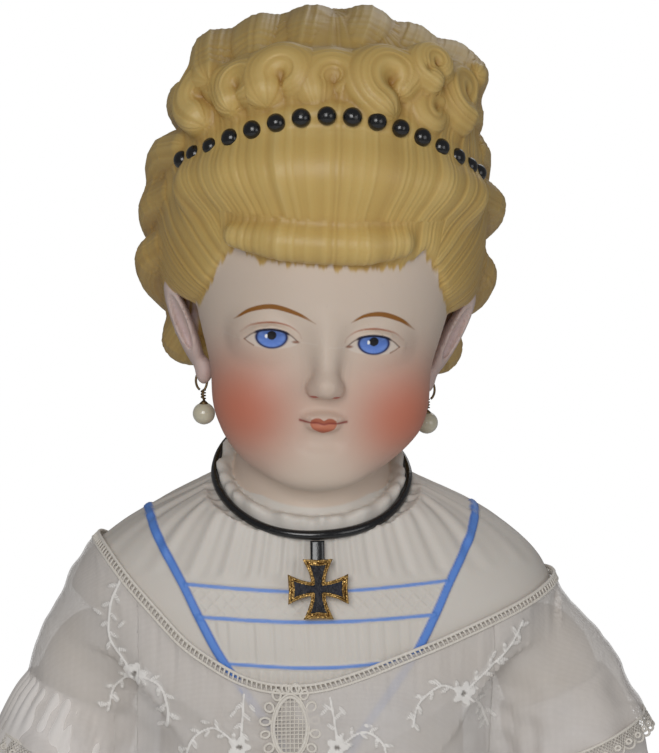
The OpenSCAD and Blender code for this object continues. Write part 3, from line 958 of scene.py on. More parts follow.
# lines of an eye, around the middle of the eye
LID_EDGE = [(5.2, -0.5), (3.9, 0.75), (2.3, 1.6), (0, 1.95), (-2.2, 1.6), (-3.8, 0.8), (-5.2, -0.4)]
CREASE_LINE = [(6.0, 0.8), (4.0, 2.4), (0.4, 3.2), (-3.0, 2.8), (-5.2, 1.5), (-5.8, 0.4)]
LOWER_LINE = [(5.2, -0.5), (4.4, -1.1), (3.4, -1.6)]
BROWS = [
    [(-18.3, 500.1), (-15.2, 502.4), (-11.0, 503.5), (-6.4, 502.6), (-2.6, 500.9)],
    [(4.4, 501.3), (7.2, 502.7), (10.6, 502.9), (14.4, 501.6), (17.4, 499.4)],
]


def paint_part(points, colours, chosen, painter):
    """Runs a painter on the chosen vertices only."""
    at = np.flatnonzero(chosen)
    colours[at] = painter(points[at], colours[at])
    return colours


def paint_eyes(points, colours):
    for s, (eye_x, eye_z) in EYES.items():
        x, z = points[:, 0] * s - eye_x, points[:, 2] - eye_z
        p = np.stack([x, z], axis=1)
        near = (np.abs(x) < 9) & (np.abs(z) < 8.5) & (points[:, 1] < -18)
        lid = arc_line(LID_EDGE)
        lid_z = np.interp(x, lid[::-1, 0], lid[::-1, 1])
        low_z = -0.5 - 1.5 * np.sqrt(np.clip(1 - (x / 5.2) ** 2, 0, 1))
        under_lid = ease(-0.1, 0.1, lid_z - z)
        inside = under_lid * ease(-0.15, 0.15, z - low_z) * near
        colours = lay(colours, EYE_WHITE, 0.6 * inside)
        disc = np.sqrt((x / 3.08) ** 2 + ((z - 0.3) / 2.2) ** 2)
        iris = ease(0.05, -0.05, disc - 1) * under_lid * near
        shade = IRIS * (1 + 0.3 * np.clip(-z / 2, -0.6, 1))[:, None]
        colours = colours * (1 - iris[:, None]) + shade * iris[:, None]
        rays = 0.5 + 0.5 * noise_1d(3 + s, np.arctan2(z + 0.3, x) * 7)
        colours = lay(colours, IRIS_RAYS, iris * 0.5 * rays * ease(0.35, 0.8, disc))
        ring = np.exp(-(((disc - 0.97) * 2.7) / 0.24) ** 2) * ease(-0.3, 0.0, lid_z - z) * near
        colours = lay(colours, IRIS_RING, ring)
        pupil = np.sqrt(x ** 2 + (z - 0.72) ** 2)
        colours = lay(colours, PUPIL, ease(1.02, 0.84, pupil) * under_lid * near)
        glint = np.sqrt(((x * s + 1.05) / 0.26) ** 2 + ((z - 0.5) / 0.42) ** 2)
        colours = lay(colours, GLINT, ease(1.15, 0.8, glint) * near)
        gap, _ = along(p, lid)
        over_iris = ease(3.7, 2.9, np.abs(x))
        line = ease(0.24, 0.06, gap) * (0.65 + 0.35 * over_iris) * near
        colours = lay(colours, LID_LINE, line)
        colours = lay(colours, LID_OVER_IRIS, ease(0.36, 0.14, gap) * over_iris * near)
        gap, where = along(p, arc_line(CREASE_LINE))
        fade = np.sin(math.pi * np.clip(where, 0.06, 0.94))
        colours = lay(colours, LID_CREASE, ease(0.26, 0.06, gap) * 0.9 * fade * near)
        gap, _ = along(p, LOWER_LINE)
        colours = lay(colours, LOWER_LID, ease(0.26, 0.06, gap) * 0.7 * near)
        corner = np.sqrt(((x + 4.8) / 0.8) ** 2 + ((z + 0.45) / 0.32) ** 2)
        colours = lay(colours, EYE_CORNER, ease(1.4, 0.3, corner) * 0.85 * near)
    for brow in BROWS:
        gap, where = along(points[:, [0, 2]], arc_line(brow))
        width = 0.05 + 0.42 * np.sin(math.pi * np.clip(where, 0, 1)) ** 0.9
        fade = ease(0, 0.1, where) * ease(1, 0.8, where)
        front = (points[:, 1] < -14) & (np.abs(points[:, 2] - 501) < 6)
        colours = lay(colours, BROW_PAINT, ease(width + 0.12, width - 0.08, gap) * (0.4 + 0.6 * fade) * front)
    return colours


def paint_mouth(points, colours):
    x, z = points[:, 0], points[:, 2]
    front = points[:, 1] < -24
    wave = 481.3 - 0.38 * np.exp(-(x / 0.9) ** 2) + 0.12 * np.cos(x * 1.2)
    top = (
        wave + 1.0 * np.sqrt(np.clip(1 - ((np.abs(x) - 1.0) / 1.65) ** 2, 0, 1))
        - 0.1 * np.exp(-(x / 0.5) ** 2)
    )
    upper = ease(-0.12, 0.12, top - z) * ease(-0.1, 0.1, z - wave) * ease(2.7, 2.4, np.abs(x)) * front
    low = wave - 1.95 * np.sqrt(np.clip(1 - (x / 2.65) ** 2, 0, 1))
    lower = ease(-0.15, 0.15, z - low) * ease(-0.1, 0.1, wave - z) * ease(2.75, 2.5, np.abs(x)) * front
    colours = lay(colours, UPPER_LIP, upper * 0.95)
    colours = lay(colours, LOWER_LIP, lower * 0.95)
    colours = lay(colours, LIP_SHADE, lower * 0.7 * ease(480.5, 479.5, z))
    seam = (
        np.exp(-((z - wave) / (0.17 + 0.1 * ease(2.2, 4.2, np.abs(x)))) ** 2) * ease(5.0, 4.6, np.abs(x))
        * front
    )
    colours = lay(colours, LIP_SEAM, seam * 0.95)
    for s in (-1, 1):
        spot = np.sqrt(((x - s * 2.2) / 0.95) ** 2 + ((z - 486.5) / 0.42) ** 2)
        colours = lay(colours, NOSTRIL, ease(1.3, 0.4, spot) * 0.85 * (points[:, 1] < -29))
    return colours


def paint_cheeks(points, colours):
    for s in (-1, 1):
        away = np.sqrt(((points[:, 0] * s - 16.0) / 13.0) ** 2 + ((points[:, 2] - 482.4) / 12.6) ** 2
                       + ((points[:, 1] + 22) / 30) ** 2)
        colours = lay(colours, BLUSH, 0.84 * np.exp(-(away / 0.86) ** 2.4) * (points[:, 1] < 2))
    return colours


BLOUSE_V = [
    (-33.2, 461.5), (-32.7, 459.4), (-31, 455), (-26.5, 447), (-23, 440), (-18.5, 432), (-9, 418.5),
    (-5.5, 412.5),
]
BLOUSE_CORDS = [((-25.6, 447.0), (0, 446.0), (25.6, 447.1)), ((-23.3, 440.9), (0, 440.2), (23.0, 440.8)),
                ((-17.8, 431.9), (0, 431.2), (17.4, 432.1))]


def blouse_line_readings(points):
    """How near points lie to the moulded ribbons (wide, slanting) and cords (thin, level) of the blouse."""
    p = points[:, [0, 2]]
    wide = np.full(len(p), 1e9)
    for s in (-1, 1):
        line = arc_line([(s * x, z) for x, z in BLOUSE_V], 8)
        wide = np.minimum(wide, along(p, line)[0])
    thin = np.minimum.reduce([along(p, arc_line(c, 12))[0] for c in BLOUSE_CORDS])
    front = points[:, 1] < 2
    return np.where(front, wide, 99), np.where(front, thin, 99)


def blouse_relief(points, wide, thin):
    """Height of the moulded blouse over the plain plate, in millimetres."""
    x, y, z = points.T
    angle = np.arctan2(x, -(y + 1))
    inside = ease(0, 2.5, 33.2 - 0.95 * np.clip(455 - z, 0, 99) * 0.72 - np.abs(x))
    fold = np.sin(angle * 33 + 1.6 * np.sin(angle * 5)) + 0.5 * np.sin(angle * 71 + 2 * np.sin(angle * 3))
    below_choker = ease(0.6, -0.6, z - collar_height(np.arctan2(x, -(y + 2)))[0])
    fan = fold * ease(447.6, 450, z) * below_choker * 0.2
    back = ease(-2, 4, y)
    gathers = noise_1d(5, x / 0.75 + 0.06 * (z - 436)) * 0.16 * ease(431.6, 432.6, z) * ease(440.4, 439.6, z)
    u, v = (x + z) / 2.9, (x - z) / 2.9
    net = np.maximum(np.exp(-((u - np.round(u)) / 0.13) ** 2), np.exp(-((v - np.round(v)) / 0.13) ** 2))
    trellis = 0.12 * net * ease(441.0, 441.8, z) * ease(446.3, 445.5, z)
    low = 0.12 * np.sin(x * 3.2) * ease(419, 423, z) * ease(431, 430, z)
    relief = (fan * (0.4 + 0.6 * np.maximum(inside, back)) + (gathers + trellis + low) * inside * (1 - back))
    relief = relief + 0.5 * ease(1.15, 0.55, wide) + 0.22 * ease(0.75, 0.25, thin)
    return relief * ease(411, 414, z) * ease(467.5, 464, z)


def build_head():
    clay = Clay((-51, -39, 409), (51, 42, 562), HEAD_STEP)
    x, y, z = clay.open_grid()
    face = capped(rows_field(soften(FACE_ROWS)), 466.3, 530)(x, y, z)
    clay.d = even_gradient(face, clay.step).astype(np.float32)
    sculpt_face(clay)
    plate = capped(rows_field(soften(PLATE_ROWS, 1.1)), 300, 470)(x, y, z)
    collar_line = collar_height(np.arctan2(x, -(y + 2)))[0]
    from_neck = np.hypot(x, y + 2)
    plate = np.maximum(plate, np.where(from_neck < 19.5, z - collar_line - 1, -9))
    slope = (z - collar_line + 0.5 - np.clip(from_neck - 21, 0, 3) * 0.5) * 0.8
    plate = np.maximum(plate, np.where(from_neck < 24, slope, -9))
    plate = even_gradient(plate, clay.step).astype(np.float32)
    clay.d = smooth_min(clay.d, plate, 1.5)
    sculpt_collar(clay)
    hollow_plate(clay)
    skin = clay.d.copy()
    hair = sculpt_hair(clay)
    clay.d = smooth_min(clay.d, hair.d, 0.5)
    head = clay_object("bisque_head", clay)
    refine(head, lambda m: (np.abs(m[:, 0]) < 18.5) & (m[:, 1] < -17) & (m[:, 2] > 477.5)
           & (m[:, 2] < 504.2), 2)
    refine(head, lambda m: (m[:, 2] > 504.2) & (m[:, 1] < 22) | (m[:, 2] > 480)
           & (np.abs(m[:, 0]) > 23), 1)
    refine(head, lambda m: (m[:, 2] < 465) & (m[:, 2] > 416) & (m[:, 1] < -6) & (np.abs(m[:, 0]) < 36), 1)
    p = mesh_points(head)
    n = mesh_normals(head)
    gap = clay.value_at(skin, p) - clay.value_at(hair.d, p)
    ragged = 0.7 * noise_1d(2, p[:, 0] * 1.3) + 0.4 * noise_1d(4, p[:, 0] * 3.1)
    line = hairline_height(p[:, 0], p[:, 1])
    ear_side = (np.degrees(np.arctan2(np.abs(p[:, 0]), -(p[:, 1] - 2))) > 66) | (p[:, 2] < 498)
    above = ease(-0.5, 0.6, p[:, 2] - line - ragged)
    is_hair = np.where(ear_side, ease(-0.25, 0.2, gap), 1) * above * (p[:, 2] > 477)
    comb, parting = np.zeros(len(p)), np.zeros(len(p))
    combed = np.flatnonzero(is_hair > 0.01)
    comb[combed], parting[combed] = comb_lines(p[combed])
    # positive in hollows and creases, negative on ridges: used to paint shade into the hollows of the hair,
    # ears and blouse, and painted highlight on the hair's ridges
    hollow_shading = np.clip(-clay.value_at(blurred(clay.d, 12), p) / 0.45, -1, 1)
    chest = np.flatnonzero((p[:, 2] < 468) & (clay.value_at(plate, p) > -1.2))
    wide, thin, lift = np.full(len(p), 99.0), np.full(len(p), 99.0), np.zeros(len(p))
    wide[chest], thin[chest] = blouse_line_readings(p[chest])
    angle = np.arctan2(p[:, 0], -(p[:, 1] + 2))
    ruffle = np.hypot(p[:, 0], p[:, 1] + 2) > 15.9
    blouse = ease(-0.3, 0.3, collar_height(angle)[1] + 0.6 - p[:, 2]) * np.maximum(ruffle, p[:, 2] < 453)
    lift[chest] = blouse_relief(p[chest], wide[chest], thin[chest]) * blouse[chest]
    moved = p + n * (0.17 * comb * is_hair - 0.12 * parting * is_hair + lift)[:, None]
    put_points(head, tilt(moved))
    grain = (
        noise_1d(11, p[:, 0] * 0.21 + p[:, 2] * 0.17) * 0.5
        + noise_1d(12, p[:, 2] * 0.33 - p[:, 1] * 0.2) * 0.5
    )
    colours = np.repeat(FLESH[None, :], len(p), axis=0)
    colours = paint_cheeks(p, colours)
    eye_zone = (np.abs(p[:, 0]) < 22) & (p[:, 1] < -12) & (np.abs(p[:, 2] - 498) < 10)
    colours = paint_part(p, colours, eye_zone, paint_eyes)
    mouth_zone = (np.abs(p[:, 0]) < 7) & (p[:, 1] < -22) & (np.abs(p[:, 2] - 483) < 6)
    colours = paint_part(p, colours, mouth_zone, paint_mouth)
    ear = (np.abs(p[:, 0]) > 21) & (p[:, 1] > -8) & (p[:, 2] > 480) & (p[:, 2] < 508)
    colours = lay(colours, EAR_FLESH, 0.75 * ear)
    # painted shade in the hollows of the ears
    colours = lay(colours, EAR_PAINTED_SHADE, ear * 0.4 * np.clip(hollow_shading, 0, 1))
    colours = lay(colours, WHITE_PAINT, blouse)
    # painted shade in the hollows and creases of the blouse
    colours = lay(colours, BLOUSE_PAINTED_SHADE, 0.15 * np.clip(hollow_shading, 0, 1) * blouse)
    colours = lay(colours, BLUE_PAINT, ease(1.0, 0.72, wide + 0.12 * grain) * blouse)
    colours = lay(colours, BLUE_DEEP, np.exp(-((wide - 0.72) / 0.2) ** 2) * 0.4 * blouse)
    colours = lay(colours, BLUE_PAINT, ease(0.48, 0.22, thin + 0.06 * grain) * 0.9 * blouse)
    tint = HAIR_PAINT * (1 + 0.07 * grain)[:, None]
    # paler on raised comb strands and ridges, darker in comb grooves, hollows and between locks: partly the
    # strands' own paint, partly painted highlight and painted shade
    tint = lay(tint, HAIR_PALE_AND_PAINTED_HIGHLIGHT, 0.26 * np.clip(comb, 0, 1) + 0.45 * np.clip(-hollow_shading, 0, 1))
    tint = lay(tint, HAIR_DARK_AND_PAINTED_SHADE, 0.3 * np.clip(-comb, 0, 1) + 0.85 * np.clip(hollow_shading, 0, 1) + 0.25 * parting)
    # painted shade down the sides of the head and lower on the hair
    outer = ease(22, 31, np.abs(p[:, 0])) * ease(540, 500, p[:, 2])
    tint = lay(tint, HAIR_DARK_AND_PAINTED_SHADE, 0.28 * outer)
    colours = colours * (1 - is_hair[:, None]) + tint * is_hair[:, None]
    put_attribute(head, "paint", np.clip(colours, 0, 1))
    put_attribute(head, "hair", is_hair)
    return head


def bisque_material():
    look = Look("bisque")
    paint = look.attribute("paint").outputs["Color"]
    hair = look.attribute("hair").outputs["Fac"]
    where = look.coords()
    cloud = look.noise(38, 4, 0.6, where)
    speck = look.noise(900, 3, 0.7, where)
    dust = look.math("MULTIPLY", look.math("SUBTRACT", speck, 0.66), 5, clamp=True)
    colour = look.mix(look.math("MULTIPLY_ADD", cloud, 0.22, -0.05), paint, (0.62, 0.53, 0.44), "MULTIPLY")
    colour = look.mix(look.math("MULTIPLY", dust, 0.22), colour, (0.32, 0.25, 0.18))
    grain = look.noise(2600, 3, 0.6, where)
    soft = look.noise(160, 3, 0.5, where)
    rough = look.math("MULTIPLY_ADD", soft, 0.16, 0.44)
    rough = look.math("SUBTRACT", rough, look.math("MULTIPLY", hair, 0.08))
    normal = look.bump(look.math("ADD", grain, look.math("MULTIPLY", soft, 2.0)), 0.22, 0.00008)
    look.set(Base_Color=colour, Roughness=rough, Normal=normal)
    look.set(Subsurface_Weight=0.12, Subsurface_Radius=(0.9, 0.6, 0.4), Subsurface_Scale=0.0012)
    look.set(Specular_IOR_Level=0.42)
    return look.material


# ---------------------------------------------------------------- small parts of the head

def path_tube(name, line, radius, sides=10, closed=False, flat=1.0, ends=None):
    """Rod swept along a line in millimetres. flat scales it across the second direction."""
    line = np.array(line, dtype=np.float64)
    count = len(line)
    radii = np.broadcast_to(np.array(radius, dtype=np.float64), (count,))
    if closed:
        steps = np.roll(line, -1, axis=0) - np.roll(line, 1, axis=0)
    else:
        steps = np.gradient(line, axis=0)
    steps /= np.linalg.norm(steps, axis=1)[:, None]
    first = ends if ends is not None else (np.array([0, 0, 1.0]) if abs(steps[0][2]) < 0.9
                                           else np.array([0, 1.0, 0]))
    side = np.array(first, dtype=np.float64)
    points = []
    for i in range(count):
        side = side - (side @ steps[i]) * steps[i]
        side /= np.linalg.norm(side)
        other = np.cross(steps[i], side)
        for k in range(sides):
            a = 2 * math.pi * k / sides
            points.append(line[i] + radii[i] * (math.cos(a) * side + flat * math.sin(a) * other))
    faces = ring_faces(count, sides, closed)
    if not closed:
        faces += end_faces(count, sides)
    return mesh_from(name, np.array(points) * MM, faces)


def merge(name, objects):
    """One object from several; the parts are taken away."""
    made = bmesh.new()
    for obj in objects:
        start = len(made.verts)
        made.from_mesh(obj.data)
        made.verts.ensure_lookup_table()
        bmesh.ops.transform(made, matrix=obj.matrix_world.copy(), verts=made.verts[start:])
        bpy.data.objects.remove(obj)
    mesh = bpy.data.meshes.new(name)
    made.to_mesh(mesh)
    made.free()
    mesh.polygons.foreach_set("use_smooth", [True] * len(mesh.polygons))
    return add_object(name, mesh)


def turned(name, profile, place, axis, sides=28):
    """Solid of revolution: profile of (radius, height) in millimetres, standing at place along axis."""
    axis = Vector(axis).normalized()
    frame_of = axis.to_track_quat("Z", "Y").to_matrix()
    points = []
    for radius, height in profile:
        for k in range(sides):
            a = 2 * math.pi * k / sides
            local = Vector((radius * math.cos(a), radius * math.sin(a), height))
            points.append(np.array(frame_of @ local) + np.array(place))
    faces = ring_faces(len(profile), sides) + end_faces(len(profile), sides)
    return mesh_from(name, np.array(points) * MM, faces)


BEAD_COUNT = 16
BEAD_ARC = 68.0
BEAD_RADIUS = 1.9
BEAD_UNEVEN = 0.05


def build_beads():
    beads = []
    for i in range(BEAD_COUNT):
        a = math.radians(-BEAD_ARC + 2 * BEAD_ARC * i / (BEAD_COUNT - 1))
        height = BAND_TOP - BAND_FALL * math.sin(a) ** 2
        at = np.array([32.2 * math.sin(a), BAND_Y - 32.9 * math.cos(a), height])
        out = np.array([math.sin(a), -math.cos(a), 0.08])
        place = tilt(at - out * 0.3)
        wide = BEAD_RADIUS * (1 + BEAD_UNEVEN * RNG.uniform(-1, 1))
        profile = [(0.05, -1.5), (wide * 0.75, -1.3), (wide, -0.3)]
        for k in range(1, 9):
            t = math.pi / 2 * k / 8
            profile.append((max(wide * math.cos(t), 0.05), -0.3 + 1.75 * math.sin(t)))
        beads.append(turned("bead_%d" % i, profile, place, out))
    return merge("hair_bead_row", beads)


def black_gloss():
    look = Look("black_gloss")
    where = look.coords()
    wear = look.noise(420, 5, 0.7, where)
    rub = look.math("MULTIPLY", look.math("SUBTRACT", wear, 0.6), 6, clamp=True)
    colour = look.mix(look.math("MULTIPLY", rub, 0.35), (0.008, 0.008, 0.009), (0.10, 0.085, 0.07))
    look.set(Base_Color=colour, Roughness=look.math("MULTIPLY_ADD", rub, 0.4, 0.2))
    look.set(Normal=look.bump(wear, 0.3, 0.0003), Coat_Weight=0.3, Coat_Roughness=0.1)
    return look.material


CHOKER_WIDTH = 1.9


def build_choker():
    """Moulded, glossy black ribbon lying round the foot of the frill."""
    count, across = 160, 10
    points = []
    for i in range(count):
        a = 2 * math.pi * i / count
        height = float(collar_height(np.array(a))[0]) + 0.2 + 0.12 * math.sin(5 * a + 1)
        wide = CHOKER_WIDTH / 2 * (1 + 0.08 * math.sin(3 * a + 0.4))
        for k in range(across):
            b = 2 * math.pi * k / across
            radius = CHOKER_RADIUS + CHOKER_THICKNESS * math.cos(b)
            points.append((radius * math.sin(a), NECK_Y - radius * NECK_DEPTH_RATIO * math.cos(a),
                           height + wide * math.sin(b)))
    faces = ring_faces(count, across, closed=True, flipped=True)
    return mesh_from("choker", tilt(np.array(points)) * MM, faces)


PENDANT_TOP = np.array([0.0, -22.4, 455.4])
PENDANT_LEAN = math.radians(-18)
CROSS_HALF = 6.0
CROSS_CENTRE = 9.0


def on_pendant(points):
    """From the pendant's own upright frame (x, outwards, up from its top) to the doll."""
    p = np.array(points, dtype=np.float64)
    c, s = math.cos(PENDANT_LEAN), math.sin(PENDANT_LEAN)
    x, out, up = p[..., 0], -p[..., 1], p[..., 2]
    return np.stack([x, out * c - up * s, out * s + up * c], axis=-1) + PENDANT_TOP


def cross_outline(half, waist, tip, count=7):
    """Outline of a cross with four arms that widen in curves from waist to tip."""
    arm = []
    for i in range(count):
        t = i / (count - 1)
        along_arm = waist + (half - waist) * t
        arm.append((waist * 0.82 + (tip - waist * 0.82) * t ** 1.6, along_arm))
    outline = []
    for quarter in range(4):
        a = -math.pi / 2 * quarter
        c, s = math.cos(a), math.sin(a)
        side = [(-w, l) for w, l in arm] + [(0, half - 0.18)] + [(w, l) for w, l in reversed(arm)]
        outline += [(x * c - y * s, x * s + y * c) for x, y in side]
    return outline


def plate_from(name, outline, depth, raise_by=0.0, crown=0.0):
    """Thin plate with a bevelled edge, from an outline around the pendant's centre."""
    n = len(outline)
    rings = [(1.0, raise_by), (1.0, raise_by + depth * 0.6), (0.965, raise_by + depth),
             (0.55, raise_by + depth + crown)]
    points = []
    for scale, out in rings:
        points += [(x * scale, out, y * scale - CROSS_CENTRE) for x, y in outline]
    faces = ring_faces(len(rings), n)
    points.append((0, raise_by + depth + crown, -CROSS_CENTRE))
    points.append((0, raise_by, -CROSS_CENTRE))
    for i in range(n):
        j = (i + 1) % n
        faces.append((3 * n + i, 3 * n + j, len(points) - 2))
        faces.append((j, i, len(points) - 1))
    return mesh_from(name, on_pendant(points) * MM, faces, smooth=False)


def build_pendant():
    gold = plate_from("cross_gilt", cross_outline(CROSS_HALF, 1.65, 3.0), 0.7)
    rim = []
    outline = cross_outline(CROSS_HALF - 0.28, 1.42, 2.62)
    line = [(x, 0.75, y - CROSS_CENTRE) for x, y in outline]
    rim.append(path_tube("rim_a", on_pendant(line), 0.26, 8, closed=True))
    line = [(x, 0.75, y - CROSS_CENTRE) for x, y in cross_outline(CROSS_HALF - 1.05, 0.95, 1.75)]
    rim.append(path_tube("rim_b", on_pendant(line), 0.17, 8, closed=True))
    gold = merge("cross_gilt_part", [gold, *rim])
    inlay = plate_from("cross_enamel", cross_outline(CROSS_HALF - 1.1, 0.9, 1.66), 0.2, 0.62, 0.06)
    strap_line = [(0, -0.3 * t, 0.7 - 4.6 * t) for t in np.linspace(0, 1, 14)]
    strap = path_tube("pendant_ribbon", on_pendant(strap_line), 1.4, 14, flat=0.24, ends=(1, 0, 0))
    return gold, inlay, strap


def gilt_material():
    look = Look("gilt")
    where = look.coords()
    cells = look.node("ShaderNodeTexVoronoi", Scale=1900.0)
    look.link(where, cells.inputs["Vector"])
    patina = look.noise(350, 5, 0.65, where)
    colour = look.mix(look.math("MULTIPLY_ADD", patina, 1.8, -0.55, clamp=True), (0.62, 0.40, 0.14),
                      (0.20, 0.10, 0.03))
    look.set(Base_Color=colour, Metallic=0.92, Roughness=look.math("MULTIPLY_ADD", patina, 0.3, 0.22))
    look.set(Normal=look.bump(cells.outputs["Distance"], 0.9, 0.0003))
    return look.material


def enamel_material():
    look = Look("enamel")
    where = look.coords()
    cloud = look.noise(300, 4, 0.6, where)
    colour = look.mix(look.math("MULTIPLY_ADD", cloud, 2.4, -1.1, clamp=True), (0.006, 0.006, 0.01),
                      (0.02, 0.024, 0.06))
    look.set(Base_Color=colour, Roughness=look.math("MULTIPLY_ADD", cloud, 0.25, 0.3))
    look.set(Normal=look.bump(cloud, 0.9, 0.0005), Specular_IOR_Level=0.22)
    return look.material


PEARL_RADIUS = 2.25


def build_earring(side):
    """Twisted bronze wire loop through the ear lobe, with a pearl under it."""
    lobe = tilt(np.array([side * 22.4, 2.0, 485.0]))
    loop = []
    for k in range(40):
        t = k / 39
        a = math.radians(250 - 320 * t)
        wobble = 0.1 * math.sin(9 * t)
        loop.append(lobe + np.array([
            side * (0.35 + 1.15 * math.cos(a) + wobble), 0.4 * math.sin(3 * t),
            -1.9 + 2.1 * math.sin(a) + wobble,
        ]))
    stem = [lobe + np.array([side * 0.2 * math.sin(4 * t), 0.3 * math.cos(7 * t), -3.8 - 2.6 * t])
            for t in np.linspace(0, 1, 10)]
    coil = [lobe + np.array([side * 0.1 + 0.42 * math.cos(a), 0.42 * math.sin(a), -3.9 - 0.09 * a])
            for a in np.arange(0, 19, 0.35)]
    wires = [path_tube("loop", loop, 0.25, 8), path_tube("stem", stem, 0.24, 8),
             path_tube("coil", coil, 0.15, 6)]
    name = side_name(side)
    wire = merge("earring_wire_" + name, wires)
    centre = lobe + np.array([0, 0, -8.65])
    profile = []
    for k in range(17):
        t = -math.pi / 2 + math.pi * k / 16
        profile.append((max(PEARL_RADIUS * math.cos(t), 0.3), PEARL_RADIUS * 0.98 * math.sin(t)))
    pearl = turned("earring_pearl_" + name, profile, centre, (0, 0, 1), 32)
    cap = turned("cap", [(0.3, 0.62), (0.95, 0.0), (0.85, -0.05), (0.3, 0.1)],
                 centre + np.array([0, 0, 2.02]), (0, 0, 1), 16)
    return merge("earring_wire_%s_all" % name, [wire, cap]), pearl


def pearl_material():
    look = Look("pearl_nacre")
    where = look.coords()
    cloud = look.noise(420, 4, 0.6, where)
    colour = look.mix(cloud, (0.56, 0.51, 0.36), (0.74, 0.70, 0.56))
    look.set(Base_Color=colour, Roughness=look.math("MULTIPLY_ADD", cloud, 0.12, 0.2), Sheen_Weight=0.4)
    look.set(Coat_Weight=0.7, Coat_Roughness=0.15, Subsurface_Weight=0.25, Subsurface_Radius=(1, 0.9, 0.7))
    look.set(Subsurface_Scale=0.0015, Normal=look.bump(cloud, 0.12, 0.0002))
    return look.material


def bronze_material():
    look = Look("bronze_wire")
    patina = look.noise(800, 5, 0.7)
    colour = look.mix(patina, (0.30, 0.20, 0.09), (0.07, 0.05, 0.03))
    look.set(Base_Color=colour, Metallic=0.9, Roughness=look.math("MULTIPLY_ADD", patina, 0.35, 0.28))
    look.set(Normal=look.bump(patina, 0.3, 0.0001))
    return look.material


# ---------------------------------------------------------------- dress: bodice and what is sewn on it

BODICE_ROWS = [
    [346, 27.6, -17.4, 16.6], [354.3, 28.6, -18, 17], [368, 30.4, -20.8, 18], [385, 32.3, -24.5, 19.5],
    [400, 33.3, -28, 22], [412, 33.8, -29.4, 26.0], [419, 33.8, -29.6, 27.2], [427, 33.6, -28.6, 27.2],
    [434, 30, -25, 25],
]
CLOTH_GAP = 0.9
LAWN_THICKNESS = 0.35
SKIRT_THICKNESS = 0.4
HEM_LACE_THICKNESS = 0.5
WAISTBAND_THICKNESS = 0.7
NECKLINE_FRONT = [
    (-43.5, 453.5), (-41.9, 452.3), (-37, 446.5), (-33.2, 442.7), (-26.5, 435.5), (-16.8, 429.3),
    (-10.9, 427.4), (-5.6, 427.0), (0.4, 427.4), (8.1, 429.6), (16.3, 432.6), (22.4, 434.6),
    (32.8, 438.2), (41.3, 441.1), (49.1, 444.4),
]
NECKLINE_BACK = [
    (-43.5, 453.5), (-41, 451.5), (-36, 447), (-28, 442.5), (-16, 439), (0, 437.5), (16, 438.6), (30, 441),
    (41, 443), (49.1, 444.4),
]
SHOULDER = np.array([46.0, 0.0, 428.0])
ARM_LEAN = math.radians(22)
ARM_DOWN = np.array([math.sin(ARM_LEAN), 0, -math.cos(ARM_LEAN)])
CAP_END = 19.0
CAPS = {
    -1: ([(-36, 0, 434), (-43, 0, 430), (-46, 0, 420), (-49.5, 0, 409), (-53, 0, 399), (-56.5, 0, 390)],
         [14, 11.4, 11.6, 13.2, 14, 14]),
    1: ([(37, 0, 432), (45.2, 0, 428.5), (50, 0, 418.5), (54, 0, 408.5), (58, 0, 399), (61, 0, 390)],
        [13.5, 11.6, 13.2, 14.4, 14.6, 14.6]),
}
CAP_SEAM = 35.5


def arm_station(points):
    """How far points lie along the arm on their own side, from the shoulder joint."""
    x = np.abs(points[:, 0])
    return (x - SHOULDER[0]) * ARM_DOWN[0] + (points[:, 2] - SHOULDER[2]) * ARM_DOWN[2]


def neckline_height(x, y):
    front = np.interp(x, *np.array(NECKLINE_FRONT).T)
    back = np.interp(x, *np.array(NECKLINE_BACK).T)
    height = np.where(y < 0, front, back)
    return np.where((x < -43.5) | (x > 49.1), 999, height)


def garment_clay():
    """Solid body that the bodice is laid over: torso in its corset shape and the plate's shoulders."""
    clay = Clay((-78, -38, 344), (78, 38, 462), 0.9)
    x, y, z = clay.open_grid()
    whole_plate = capped(rows_field(soften(PLATE_ROWS, 1.1)), 300, 470)(x, y, z)
    plate = np.maximum(even_gradient(whole_plate, clay.step), (plate_arch(x, y) - 2 - z) * 0.8)
    waist = capped(rows_field(soften(BODICE_ROWS), 2.6), 340, 433)(x, y, z)
    waist = even_gradient(waist, clay.step)
    clay.d = smooth_min(plate, waist, 5).astype(np.float32)
    for line, radii in CAPS.values():
        clay.blend(tube(*rounded(line, radii)), 4)
    clay.d = np.minimum(clay.d, blurred(clay.d, 45))
    near_edge = ease(11, 1, np.minimum(neckline_height(x, y), 450) - z) * (z > 415)
    clay.d = clay.d * (1 - near_edge) + even_gradient(whole_plate, clay.step) * near_edge
    return clay


def keep_faces(obj, keep):
    """Leaves the largest joined part of the faces that keep(middles in mm) allows, border smoothed."""
    made = bmesh.new()
    made.from_mesh(obj.data)
    middles = np.array([f.calc_center_median() for f in made.faces]) / MM
    wanted = keep(middles)
    lost = [f for f, good in zip(made.faces, wanted) if not good]
    bmesh.ops.delete(made, geom=lost, context="FACES")
    parts = []
    left = set(made.faces)
    while left:
        seed = left.pop()
        part, edge = {seed}, [seed]
        while edge:
            f = edge.pop()
            for e in f.edges:
                for g in e.link_faces:
                    if g in left:
                        left.discard(g)
                        part.add(g)
                        edge.append(g)
        parts.append(part)
    parts.sort(key=len)
    for part in parts[:-1]:
        bmesh.ops.delete(made, geom=list(part), context="FACES")
    for _ in range(14):
        moved = {}
        for v in made.verts:
            border = [e.other_vert(v).co for e in v.link_edges if e.is_boundary]
            if len(border) == 2:
                moved[v] = v.co * 0.5 + (border[0] + border[1]) * 0.25
        for v, co in moved.items():
            v.co = co
    made.to_mesh(obj.data)
    made.free()
    obj.data.polygons.foreach_set("use_smooth", [True] * len(obj.data.polygons))
    obj.data.update()


def thicken(obj, thickness, offset=-1.0):
    made = obj.modifiers.new("cloth", "SOLIDIFY")
    made.thickness = thickness * MM
    made.offset = offset


